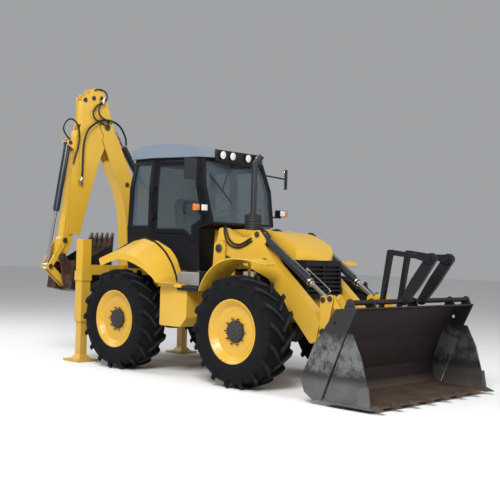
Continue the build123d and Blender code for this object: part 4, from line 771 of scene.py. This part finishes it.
# ================================================================ sub-assemblies
@dataclass
class Wheels:
    """Four wheels: rubber with its lugs, rims, wheel nuts and hub caps."""

    crown: float = 0.630
    tip: float = 0.666
    half: float = 0.220
    pairs: int = 17
    sweep: float = radians(17.0)
    hub_radius: float = 0.125
    stud_circle: float = 0.155
    stud_count: int = 10
    disc_face: float = 0.111
    tread: float = 0.65        # radius at which a bar's width is measured
    hub_rise: float = 0.045    # face of the planetary hub over the disc

    def build(self) -> None:
        """Dress every wheel."""
        for end, (sign, hand) in product(("front", "rear"), HANDS):
            hub = joint_place(f"wheel_{end}_{hand}")
            node = f"{end}_{hand}_tyre"
            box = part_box(node)
            centre = Vector((hub.x, (box[0].y + box[1].y) / 2, hub.z))
            rubber = TyreRubber(f"tyre_{end}", hub.x, hub.z, self.crown)
            coat(rubber, node)
            body = f"{end}_{hand}_wheel"
            self.tyre(node, body, centre, rubber)
            coat(Rim(f"rim_{end}", RIM_YELLOW, hub.x, hub.z, self.hub_radius), f"{end}_{hand}_rim")
            self.hub_cap(body, centre, sign)

    def place(self, centre: Vector, angle: float, across: float, radius: float) -> Vector:
        """A point on a tyre: round it from the top, across it and out from its middle."""
        return centre + Vector((radius * sin(angle), across, radius * cos(angle)))

    def tyre(self, node: str, body: str, centre: Vector, rubber: TyreRubber) -> None:
        """The smooth carcass with two rows of rounded, swept bars."""
        made = Solid(f"{node}_rubber", body, rubber, "tyre_rubber")
        outside = [(0.186, 0.392), (0.196, 0.405), (0.207, 0.432), (0.216, 0.466), (0.2195, 0.500),
                   (0.216, 0.540), (0.209, 0.574), (0.197, 0.601), (0.160, 0.614), (0.105, 0.623),
                   (0.050, 0.628)]
        profile = [(-y, r) for y, r in outside] + [(0.0, 0.630)] + [(y, r) for y, r in reversed(outside)]
        profile += [(0.168, 0.360), (-0.168, 0.360)]
        sides = 96
        rings = [[self.place(centre, 2 * pi * i / sides, y, r) for y, r in profile] for i in range(sides)]
        rows = [[made.mesh.verts.new(point) for point in ring] for ring in rings]
        count = len(profile)
        for i in range(sides):
            for k in range(count):
                near, far = rows[i], rows[(i + 1) % sides]
                made.mesh.faces.new((near[k], near[(k + 1) % count], far[(k + 1) % count], far[k]))
        step = 2 * pi / self.pairs
        for i in range(self.pairs):
            self.bar(made, centre, i * step, 1)
            self.bar(made, centre, (i + 0.5) * step, -1)
        made.done()
        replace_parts(bpy.data.objects[f"{node}_rubber"], node)

    def bar(self, made: Solid, centre: Vector, start: float, side: int) -> None:
        """One tread bar: widening and dropping from the middle of the tread round the shoulder."""
        stations = (  # across, part of the sweep, foot radius, top radius, half width
            (-0.006, -0.02, 0.612, 0.655, 0.016), (0.000, 0.00, 0.610, 0.663, 0.020),
            (0.030, 0.17, 0.608, 0.6665, 0.021), (0.080, 0.46, 0.606, 0.6665, 0.022),
            (0.135, 0.74, 0.602, 0.664, 0.025), (0.180, 0.92, 0.590, 0.659, 0.028),
            (0.205, 1.00, 0.575, 0.651, 0.030), (0.2185, 1.03, 0.560, 0.636, 0.029),
            (0.2195, 1.05, 0.545, 0.610, 0.024),
        )
        flank = ((1.32, 0.0), (1.06, 0.72), (0.92, 0.95), (0.78, 1.0))   # half widths, share of the height
        section = [(-turn, lift) for turn, lift in flank] + list(reversed(flank))
        rings = []
        for across, swept, foot, top, half in stations:
            angle = start - self.sweep * swept
            rings.append([self.place(centre, angle + turn * half / self.tread, side * across,
                                     foot + (top - foot) * lift) for turn, lift in section])
        made.ring_stack(rings)

    def hub_cap(self, body: str, hub: Vector, sign: int) -> None:
        """Rings and a ring of small bolts on the planetary hub's face."""
        out = Vector((0, sign, 0))
        face = self.disc_face + self.hub_rise
        ring = Solid(f"{body}_hub_ring", body, CAST, "black_paint")
        ring.lathe(hub + out * (face - 0.002), out,
                   [(0.0, 0.090), (0.007, 0.088), (0.012, 0.080), (0.012, 0.046), (0.020, 0.042),
                    (0.020, 0.020), (0.014, 0.016), (0.014, 0.0003)], 36)
        ring.lathe(hub + out * (self.disc_face - 0.001), out,
                   [(0.0, 0.134), (0.010, 0.134), (0.014, 0.130), (0.014, 0.12)], 40)
        ring.done()
        rows = (  # name, ring's radius, height over the disc, count, first place, head, its height
            ("hub_bolts", 0.112, 0.0385, 12, 0.5, BoltHead.HEX, 0.012),
            ("stud_ends", self.stud_circle, 0.021, self.stud_count, 0, BoltHead.ROUND, 0.016),
        )
        for name, wide, rise, count, first, head, tall in rows:
            spots = [(hub + Vector((wide * cos(a), sign * (self.disc_face + rise), wide * sin(a))), out)
                     for a in (2 * pi * (i + first) / count for i in range(count))]
            bolts(f"{body}_{name}", body, spots, head, 0.008, tall, CAST)


@dataclass
class Chassis:
    """Frame, axles, tanks, nose and bonnet."""

    stack_place: tuple[float, float] = (-0.52, -0.25)
    band_pitch: float = 0.036
    step_x: float = -0.925

    def build(self) -> None:
        """Dress the chassis and add its trim."""
        coat(YELLOW, "hood", "rear_cowl", "rear_fenders", "side_tanks", "front_left_knuckle",
             "front_right_knuckle", "main_frame", "backhoe_frame", "stabiliser_leg_left",
             "stabiliser_leg_right")
        coat(BLACK, "front_axle", "rear_axle", "rear_left_knuckle", "rear_right_knuckle")
        coat(CAST, "engine_block")
        coat(TRIM, "nose_grille")
        coat(STACK, "exhaust_stack")
        self.step_plates()
        self.fender_edges()
        self.muffler_ribs()

    def step_plates(self) -> None:
        """Black step boxes over the tanks, with ribbed alloy fronts and rubber pads."""
        for sign, hand in HANDS:
            riser = Solid(f"step_riser_{hand}", "chassis", STEP, "stack_steel")
            riser.slab(at(self.step_x, sign * 0.978, 1.251), (0.39, 0.010, 0.172), 0.004)
            for row in range(8):
                riser.slab(at(self.step_x, sign * 0.9845, 1.182 + row * 0.0200), (0.36, 0.006, 0.008), 0.002)
            riser.done()
            tread = Solid(f"step_pad_{hand}", "chassis", TRIM)
            tread.slab(at(self.step_x, sign * 0.815, 1.2405), (0.38, 0.315, 0.197), 0.012)
            tread.slab(at(-0.865, sign * 0.985, 1.129), (0.37, 0.15, 0.054), 0.012)
            for i in range(9):
                tread.slab(at(-1.025 + i * 0.04, sign * 1.01, 1.158), (0.010, 0.09, 0.008), 0.002)
                tread.slab(at(-1.085 + i * 0.04, sign * 0.84, 1.341), (0.010, 0.24, 0.008), 0.002)
            tread.done()

    def fender_edges(self) -> None:
        """Black rubber strips where the rear mudguards meet the cab."""
        inner = ((-0.582, 0.866), (-0.237, 1.013), (0.0, 1.110), (0.2, 1.156), (0.434, 1.097),
                 (0.632, 0.965), (0.761, 0.804), (0.845, 0.638), (0.885, 0.517))
        crease = ((-0.330, 0.800), (-0.120, 0.868), (0.0, 0.885), (0.249, 0.882), (0.413, 0.841),
                  (0.587, 0.758), (0.760, 0.647), (0.863, 0.543), (0.885, 0.517))
        hub = joint_place("wheel_rear_left")
        share = 0.235   # of the way from the inner edge to the crease
        for sign, hand in HANDS:
            across = DATUM.y + sign * (0.70 + 0.45 * share)
            path = [Vector((hub.x + a * (1 - share) + c * share, across,
                            hub.z + b * (1 - share) + d * share + 0.004))
                    for (a, b), (c, d) in zip(inner, crease)]
            tubes(f"mudguard_strip_{hand}", "chassis", SEAL, [(path, 0.013, 10, 4)])

    def muffler_ribs(self) -> None:
        """Bands round the silencer."""
        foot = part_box("exhaust_stack")[0]
        x, y = self.stack_place
        ribs = Solid("silencer_bands", "chassis", STACK, "stack_steel")
        for i in range(5):
            centre = at(x, y, 0)
            centre.z = foot.z + 0.025 + i * self.band_pitch
            ribs.lathe(centre, UP, [(0.0, 0.106), (0.004, 0.112), (0.016, 0.112), (0.020, 0.106)], 32)
        ribs.done()


@dataclass
class Cab:
    """Cab shell, glass, lamps, mirrors, door handles and wiper."""

    lamp_places: tuple[float, ...] = (-0.335, -0.15, 0.15, 0.335)
    mirror_turn: float = radians(44.0)

    def build(self) -> None:
        """Dress the cab and add its trim."""
        coat(CAB_PAINT, "cab_frame")
        coat(ROOF, "cab_roof")
        coat(SCREEN, "cab_glass")
        coat(CAB_PAINT, "cab_door_left", "cab_door_right")
        coat(GLASS, "door_glass_left", "door_glass_right")
        coat(TRIM, "lamps_and_mirrors")
        self.work_lamps()
        self.corner_lamps()
        self.mirror_faces()
        self.door_handles()
        self.wiper()

    def work_lamps(self) -> None:
        """Black panel over the windscreen with four round lamps."""
        block("lamp_panel", TRIM, at(-1.047, 0.0, 2.868), (0.026, 0.90, 0.160), 0.012)
        way = Vector((1.0, 0.0, -0.08)).normalized()
        for i, y in enumerate(self.lamp_places):
            bezel = Solid(f"work_lamp_{i}", "chassis", TRIM)
            bezel.lathe(at(-1.043, y, 2.880), way,
                        [(0.0, 0.056), (0.026, 0.064), (0.034, 0.062), (0.034, 0.0535)], 32)
            bezel.done()
            lens = Solid(f"work_lens_{i}", "chassis", LENS)
            lens.lathe(at(-1.0115, y, 2.8775), way,
                       [(0.0, 0.0535), (0.003, 0.051), (0.007, 0.038), (0.0095, 0.016), (0.010, 0.0005)], 32)
            lens.done()

    def corner_lamps(self) -> None:
        """Headlight and amber indicator lenses at the cab's front corners."""
        for sign, hand in HANDS:
            block(f"head_lens_{hand}", LENS, at(-0.897, sign * 0.76, 2.16), (0.012, 0.10, 0.075), 0.005)
            block(f"indicator_lens_{hand}", AMBER, at(-0.95, sign * 0.855, 2.16), (0.076, 0.066, 0.086),
                  0.012)

    def mirror_faces(self) -> None:
        """Mirror glass on the rear of each housing."""
        for sign, hand in HANDS:
            turn = Matrix.Rotation(sign * self.mirror_turn, 3, "Z")
            place = at(-1.005, sign * 0.925, 2.650) - turn @ Vector((0.022, 0.0, 0.0))
            block(f"mirror_glass_{hand}", MIRROR, place, (0.006, 0.135, 0.245), 0.002, turn)

    def door_handles(self) -> None:
        """A pull handle on each door."""
        for sign, hand in HANDS:
            corners = ((0.70, 2.10), (0.745, 2.10), (0.745, 2.22), (0.70, 2.22))
            path = [at(-1.30, sign * out, z) for out, z in corners]
            tubes(f"door_handle_{hand}", f"door_{hand}", TRIM, [(path, 0.009, 10, 5)], "black_paint")

    def wiper(self) -> None:
        """Windscreen wiper: arm and blade hanging from the lamp panel."""
        arm = [at(-1.10, -0.10, 2.80), at(-1.045, -0.22, 2.62), at(-0.985, -0.36, 2.42)]
        blade = [at(-1.075, -0.52, 2.62), at(-1.01, -0.36, 2.43), at(-0.955, -0.20, 2.25)]
        tubes("wiper", "chassis", TRIM, [(arm, 0.006, 8, 4), (blade, 0.007, 8, 4)])


@dataclass
class Interior:
    """What shows through the glass: the sprung seat, steering column, levers and consoles."""

    floor: float = 1.405
    square: int = 5                # how square a cushion's corners are
    wheel_radius: float = 0.185
    spoke_turns: Point = (0.0, 2.1, 4.2)

    def build(self) -> None:
        """Make the seat and the controls, which stand for the plain ones."""
        self.seat()
        self.controls()
        self.levers()

    def cushion(self, name: str, centre: Vector, size: Point, lean: float, channels: int) -> None:
        """A crowned pad with rounded corners, pinched seams and sewn channels.

        Args:
            name: Name of the piece.
            centre: Its middle.
            size: Length, width and thickness, before it leans.
            lean: Turn about the machine's width.
            channels: Number of sewn channels across it.
        """
        made = Solid(name, "chassis", FABRIC)
        bmesh.ops.create_cube(made.mesh, size=2.0)
        bmesh.ops.subdivide_edges(made.mesh, edges=made.mesh.edges[:], cuts=17, use_grid_fill=True)
        turn = Matrix.Rotation(lean, 3, "Y")
        for vert in made.mesh.verts:
            u, v, w = vert.co
            length = sum(abs(c) ** self.square for c in (u, v, w)) ** (1 / self.square)
            u, v, w = u / length, v / length, w / length
            crown = 1.0 - 0.22 * (u * u + v * v) / 2
            pull = 1.0 - 0.05 * (1 - w * w) * (abs(u * v) < 0.5)
            groove = 0.035 * max(0.0, sin(pi * channels * (u + 1) / 2) ** 2 - 0.86) / 0.14 if w > 0.4 else 0.0
            bolster = 0.16 * max(0.0, abs(v) - 0.62) / 0.38 if w > 0.0 else 0.0
            local = Vector((u * pull * size[0] / 2, v * pull * size[1] / 2,
                            w * size[2] / 2 * (crown - groove + bolster)))
            vert.co = centre + turn @ local
        pad = made.done()

    def seat(self) -> None:
        """Cushion, backrest and headrest on a bellows base."""
        self.cushion("seat_cushion", at(-1.76, 0.0, self.floor + 0.315), (0.48, 0.48, 0.13), 0.0, 3)
        self.cushion("seat_back", at(-1.995, 0.0, self.floor + 0.64), (0.60, 0.46, 0.13), radians(-100.0), 4)
        base = Solid("seat_base", "chassis", TRIM)
        for i in range(5):
            base.slab(at(-1.80, 0.0, self.floor + 0.025 + i * 0.05), (0.32, 0.34, 0.036), 0.012)
        base.slab(at(-1.80, 0.0, self.floor + 0.12), (0.27, 0.29, 0.24), 0.010)
        for y in (0.27, -0.27):
            base.slab(at(-1.77, y, self.floor + 0.47), (0.30, 0.05, 0.05), 0.018)
        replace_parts(base.done(), "cab_interior")

    def controls(self) -> None:
        """Steering column, dished wheel, instrument binnacle and the side console."""
        made = Solid("controls", "chassis", TRIM)
        made.slab(at(-1.235, 0.0, self.floor + 0.30), (0.11, 0.16, 0.60), 0.02)
        made.slab(at(-1.215, 0.0, self.floor + 0.63), (0.16, 0.26, 0.10), 0.03)
        way = Vector((-0.45, 0.0, 1.0)).normalized()
        made.lathe(at(-1.25, 0.0, self.floor + 0.55), way,
                   [(0.0, 0.03), (0.13, 0.026), (0.155, 0.045), (0.165, 0.02)], 16)
        hub = at(-1.275, 0.0, self.floor + 0.70)
        side = Vector((0.0, 1.0, 0.0))
        ahead = side.cross(way)
        ring = [hub + (side * cos(a) + ahead * sin(a)) * self.wheel_radius
                for a in (2 * pi * i / 24 for i in range(25))]
        made.tube(ring, 0.014, 10, 2)
        for a in self.spoke_turns:
            made.tube([hub - way * 0.02, hub + (side * cos(a) + ahead * sin(a)) * 0.18], 0.010, 8, 0)
        made.slab(at(-1.775, -0.50, self.floor + 0.26), (0.54, 0.20, 0.50), 0.03)
        made.slab(at(-2.13, 0.0, self.floor + 0.20), (0.20, 0.90, 0.40), 0.03)
        made.done()

    def levers(self) -> None:
        """Levers with round knobs at the sides and behind the seat."""
        made = Solid("levers", "chassis", SEAL)
        rows = ((-1.60, -0.46, 0.52, 0.03), (-1.68, -0.46, 0.52, 0.0), (-1.26, 0.16, 0.45, -0.02),
                (-2.10, -0.12, 0.40, 0.05), (-2.10, 0.12, 0.40, 0.05))
        for x, y, z, lean in rows:
            foot = at(x, y, self.floor + z)
            top = foot + Vector((lean, 0.0, 0.26))
            made.tube([foot, (foot + top) / 2 + Vector((0.01, 0, 0)), top], 0.007, 8, 3)
            made.lathe(top - Vector((0, 0, 0.012)), UP,
                       [(0.0, 0.010), (0.010, 0.020), (0.028, 0.022), (0.042, 0.014), (0.046, 0.001)], 14)
        made.done()


PinRow = tuple[str, float, float, float, float]
FACE = 0.083                          # a hose lying on the outer face of a loader arm, from its middle
ARM_Y = 0.46                          # middle of a loader arm
TILT_BASE = Vector((-0.18, 0, 1.83))  # tilt ram's pin on the arm
TILT_WAY = (Vector((0.90, 0, 1.085)) - TILT_BASE).normalized()


@dataclass
class LoaderGear:
    """Loader arms, bucket and forks."""

    arm_strands: tuple[tuple[Point, ...], ...] = (  # x, z, out from the arm's middle, of each hose's points
        ((-0.820, 1.895, 0.01), (-0.790, 1.925, 0.03), (-0.745, 1.922, 0.06), (-0.710, 1.890, FACE),
         (-0.690, 1.830, FACE), (-0.650, 1.760, FACE), (-0.570, 1.710, FACE), (-0.470, 1.700, FACE),
         (-0.380, 1.730, FACE), (-0.300, 1.770, FACE), (-0.265, 1.782, FACE - 0.03)),
        ((-0.835, 1.885, -0.02), (-0.810, 1.920, 0.01), (-0.775, 1.910, 0.05), (-0.745, 1.865, FACE),
         (-0.725, 1.800, FACE), (-0.690, 1.730, FACE), (-0.600, 1.675, FACE), (-0.480, 1.662, FACE),
         (-0.380, 1.690, FACE), (-0.290, 1.735, FACE), (-0.255, 1.750, FACE - 0.03)),
    )
    jumper: tuple[tuple[float, float], ...] = (  # x, z of the short hose at each arm's knee
        (-0.27, 1.80), (-0.19, 1.868), (-0.10, 1.868), (-0.02, 1.79))

    def build(self) -> None:
        """Dress the loader and add its glands, hoses and level indicator."""
        coat(YELLOW, "loader_arms", "bell_cranks", "bucket_links")
        coat(NAVY, "lift_barrels", "tilt_barrels")
        coat(CHROME, "lift_rods", "tilt_rods")
        low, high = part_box("bucket_clam")
        coat(BucketSteel("bucket_steel", 1.165, (low.y + high.y) / 2), "loader_bucket", "bucket_clam")
        coat(FORK, "fork_arms", "fork_tines")
        self.glands()
        self.hoses()
        self.indicator_rod()

    def glands(self) -> None:
        """Silver end caps where the tilt rods leave their barrels."""
        for sign, hand in HANDS:
            cap = Solid(f"tilt_gland_{hand}", "tilt_barrels", FITTING, "black_paint")
            start = at(TILT_BASE.x, sign * ARM_Y, TILT_BASE.z) + TILT_WAY * 0.955
            cap.lathe(start, TILT_WAY, [(0.0, 0.0455), (0.004, 0.048), (0.024, 0.048), (0.028, 0.0455)], 28)
            cap.lathe(start + TILT_WAY * 0.046, TILT_WAY,
                      [(0.0, 0.039), (0.003, 0.041), (0.012, 0.041), (0.015, 0.039)], 28)
            cap.done()

    def hoses(self) -> None:
        """Hydraulic hoses along the arms, and the pipe on each tilt ram."""
        for sign, hand in HANDS:
            y = sign * ARM_Y
            runs = [([at(x, y + sign * out, z) for x, z, out in strand], 0.012)
                    for strand in self.arm_strands]
            runs.append(([at(x, y, z) for x, z in self.jumper], 0.011))
            tubes(f"arm_hoses_{hand}", "loader_arms", HOSE, runs)
            start = at(TILT_BASE.x, y, TILT_BASE.z)
            up = Vector((0, 1, 0)).cross(TILT_WAY) * -1
            pipe = [start + TILT_WAY * along + up * 0.060 for along in (0.14, 0.93)]
            tubes(f"tilt_pipe_{hand}", "tilt_barrels", FITTING, [(pipe, 0.007, 8, 0)], "chromed_rod")

    def indicator_rod(self) -> None:
        """Bucket level indicator beside the right tilt ram."""
        rod = Solid("level_indicator", "tilt_barrels", FITTING, "chromed_rod")
        y = -0.385
        rod.tube([at(0.50, y, 1.44), at(0.84, y, 1.205), at(0.845, y, 1.16), at(0.81, y, 1.14)], 0.006, 8, 5)
        rod.slab(at(0.53, y - 0.02, 1.415), (0.03, 0.05, 0.03), 0.005)
        rod.done()


@dataclass
class DiggerGear:
    """Digging arm, its hoses and its bucket."""

    def build(self) -> None:
        """Dress the backhoe and add its hoses."""
        coat(YELLOW, "boom", "dipper", "dipper_extension", "hoe_rocker", "hoe_link")
        coat(BLACK, "backhoe_carriage", "swing_post")
        for name in ("boom", "dipper", "bucket"):
            coat(NAVY, f"{name}_ram_barrel")
            coat(CHROME, f"{name}_ram_rod")
        coat(DigSteel("digging_steel", SLEW.x, 0.285), "hoe_bucket")
        self.knee_hoses()
        self.ram_hoses()

    def knee_hoses(self) -> None:
        """The long hose that arches over the knee, and two short ones at the dipper's head."""
        side = 0.145
        long_route = ((1.245, 2.60), (1.235, 2.75), (1.235, 2.90), (1.225, 3.14), (1.165, 3.335),
                      (1.03, 3.46), (0.88, 3.53), (0.70, 3.53), (0.55, 3.46), (0.455, 3.32), (0.43, 3.20))
        tubes("knee_hose", "dipper", HOSE, [([hoe(r, z, side) for r, z in long_route], 0.015)])
        first = ((0.89, 3.80), (1.00, 3.72), (1.06, 3.62), (1.02, 3.54), (0.93, 3.50), (0.84, 3.47))
        second = ((0.875, 3.79), (0.94, 3.745), (0.965, 3.65), (0.91, 3.575), (0.82, 3.54), (0.76, 3.50))
        top = ((1.02, 3.96), (0.98, 3.985), (0.88, 3.985), (0.81, 3.95), (0.79, 3.87), (0.84, 3.81))
        tubes("head_hoses", "dipper", HOSE, [([hoe(r, z, w) for r, z in route], 0.011)
                                             for route, w in ((first, 0.125), (second, 0.135), (top, 0.10))])
        ends = Solid("hose_fittings", "dipper", FITTING, "chromed_rod")
        for reach, height in ((1.247, 2.575), (0.882, 3.805)):
            ends.slab(hoe(reach, height, side - 0.015), (0.045, 0.05, 0.07), 0.008)
            ends.lathe(hoe(reach, height + 0.02, side), UP,
                       [(0.0, 0.018), (0.03, 0.018), (0.034, 0.015), (0.055, 0.015)], 14)
        ends.done()

    def ram_hoses(self) -> None:
        """The loop at the bucket ram's base."""
        route = ((1.44, 3.18), (1.52, 3.25), (1.56, 3.33), (1.53, 3.42), (1.45, 3.48), (1.36, 3.46),
                 (1.295, 3.37), (1.275, 3.25), (1.29, 3.10), (1.33, 2.97), (1.37, 2.83))
        tubes("bucket_ram_hoses", "dipper_extension", HOSE, [([hoe(r, z, 0.10) for r, z in route], 0.012)])


@dataclass
class PinCaps:
    """Dark end caps, with a bolt or a grease nipple, on every pin of the arms."""

    loader: tuple[PinRow, ...] = (  # body, x, z, radius, from the arm's middle
        ("chassis", -0.810, 1.650, 0.052, 0.112), ("loader_arms", -0.180, 1.830, 0.036, 0.082),
        ("loader_arms", -0.050, 1.500, 0.040, 0.075),
        ("loader_arms", 0.907, 0.712, 0.042, 0.108), ("bell_cranks", 0.900, 1.085, 0.032, 0.110),
        ("bell_cranks", 1.000, 1.100, 0.032, 0.110), ("loader_bucket", 1.266, 0.786, 0.034, 0.088),
        ("loader_bucket", 1.173, 0.398, 0.042, 0.068),
    )
    digger: tuple[PinRow, ...] = (  # body, reach, height, radius, from the middle
        ("boom", 0.778, 3.442, 0.050, 0.116), ("boom", -0.200, 2.420, 0.036, 0.112),
        ("boom", 0.360, 2.600, 0.036, 0.112), ("dipper", 0.877, 3.860, 0.034, 0.089),
        ("dipper", 1.027, 3.846, 0.034, 0.089), ("dipper", 1.180, 3.800, 0.034, 0.089),
        ("dipper_extension", 1.470, 1.708, 0.040, 0.098), ("hoe_rocker", 1.705, 1.330, 0.034, 0.100),
        ("hoe_bucket", 1.511, 1.462, 0.044, 0.128), ("hoe_bucket", 1.407, 1.078, 0.040, 0.128),
        ("swing_post", 0.215, 0.950, 0.046, 0.145), ("swing_post", -0.020, 1.400, 0.036, 0.145),
        ("dipper_extension", 1.410, 3.140, 0.030, 0.071),
    )

    def build(self) -> None:
        """One joined piece of caps for each body."""
        made: dict[str, Solid] = {}
        for body, x, z, radius, reach in self.loader:
            for sign, way in product((1, -1), (1, -1)):
                if way * sign < 0 and body in ("bell_cranks", "chassis"):
                    continue
                foot = at(x, sign * ARM_Y + way * reach, z)
                self.cap(self.piece(made, body), foot, Vector((0, way, 0)), radius)
        for body, reach, height, radius, across in self.digger:
            for way in (1, -1):
                foot = hoe(reach, height, way * across)
                self.cap(self.piece(made, body), foot, Vector((way, 0, 0)), radius)
        for piece in made.values():
            piece.done()

    def piece(self, made: dict[str, Solid], body: str) -> Solid:
        """The body's piece, begun when first asked for."""
        if body not in made:
            made[body] = Solid(f"{body}_pin_caps", body, CAST, "black_paint")
        return made[body]

    def cap(self, made: Solid, foot: Vector, way: Vector, radius: float) -> None:
        """One cap: a chamfered disc, a bolt head in the middle and a small nipple."""
        disc = [(0.0, radius), (0.007, radius), (0.011, radius * 0.90), (0.011, 0.0005)]
        made.lathe(foot - way * 0.001, way, disc, 26)
        bolt = [(0.0, 0.011), (0.007, 0.011), (0.008, 0.009), (0.008, 0.0005)]
        made.lathe(foot + way * 0.0105, way, bolt, 6)
        up = Vector((0, 0, radius * 0.62))
        nipple = [(0.0, 0.005), (0.006, 0.004), (0.010, 0.0045), (0.012, 0.0005)]
        made.lathe(foot + up + way * 0.0105, way, nipple, 8)


# ================================================================ studio
@dataclass
class Studio:
    """Pale floor, soft light and the camera."""

    eye: Point = (7.280, -8.652, 1.572)
    heading: float = 2.334
    pitch: float = 0.014
    roll: float = 0.0291
    focal: float = 64.29
    shift: tuple[float, float] = (0.0217, -0.0155)

    def build(self) -> None:
        """Make the floor, lights and camera."""
        self.floor()
        self.lights()
        self.camera()

    def floor(self) -> None:
        """A wide matt floor."""
        data = bpy.data.meshes.new("studio_floor")
        reach = 60.0
        data.from_pydata([(-reach, -reach, 0), (reach, -reach, 0), (reach, reach, 0), (-reach, reach, 0)], [],
                         [(0, 1, 2, 3)])
        g = Graph("pale_floor")
        data.materials.append(g.finish((0.86, 0.86, 0.86), 0.9))
        link("studio_floor", data)

    def lights(self) -> None:
        """An even sky and three large soft lights."""
        world = bpy.data.worlds.new("studio_sky")
        world.use_nodes = True
        world.node_tree.nodes["Background"].inputs["Color"].default_value = (0.94, 0.97, 1.0, 1.0)
        world.node_tree.nodes["Background"].inputs["Strength"].default_value = 0.40
        bpy.context.scene.world = world
        rows = (  # name, place, size, watts
            ("key", (5.0, -9.0, 9.0), 5.0, 1850.0),
            ("fill", (9.0, 4.0, 7.0), 7.0, 450.0),
            ("back", (-8.0, -3.0, 8.0), 6.0, 500.0),
        )
        for name, place, size, power in rows:
            light = bpy.data.lights.new(name, "AREA")
            light.size = size
            light.energy = power
            lamp = link(name, light)
            lamp.location = at(*place)
            lamp.rotation_euler = (at(-1.0, 0.0, 1.2) - lamp.location).to_track_quat("-Z", "Y").to_euler()
        view = bpy.context.scene.view_settings
        view.view_transform = "Standard"
        view.exposure = -0.1

    def camera(self) -> None:
        """The camera."""
        data = bpy.data.cameras.new("camera")
        data.sensor_width = 36.0
        data.lens = self.focal
        data.shift_x, data.shift_y = self.shift
        data.clip_end = 200.0
        lens = link("camera", data)
        level = cos(self.pitch)
        ahead = Vector((cos(self.heading) * level, sin(self.heading) * level, sin(self.pitch)))
        right = Vector((sin(self.heading), -cos(self.heading), 0.0))
        up = right.cross(ahead)
        tilted_right = right * cos(self.roll) + up * sin(self.roll)
        tilted_up = up * cos(self.roll) - right * sin(self.roll)
        turn = Matrix((tilted_right, tilted_up, -ahead)).transposed().to_4x4()
        lens.matrix_world = Matrix.Translation(at(*self.eye)) @ turn
        bpy.context.scene.camera = lens


def main() -> None:
    """Build the studio, then each sub-assembly in order."""
    logging.basicConfig(level=logging.INFO, format="%(name)s %(message)s")
    Studio().build()
    for part in (Wheels(), Chassis(), Cab(), Interior(), LoaderGear(), DiggerGear(), PinCaps()):
        part.build()


if __name__ == "__main__":
    main()
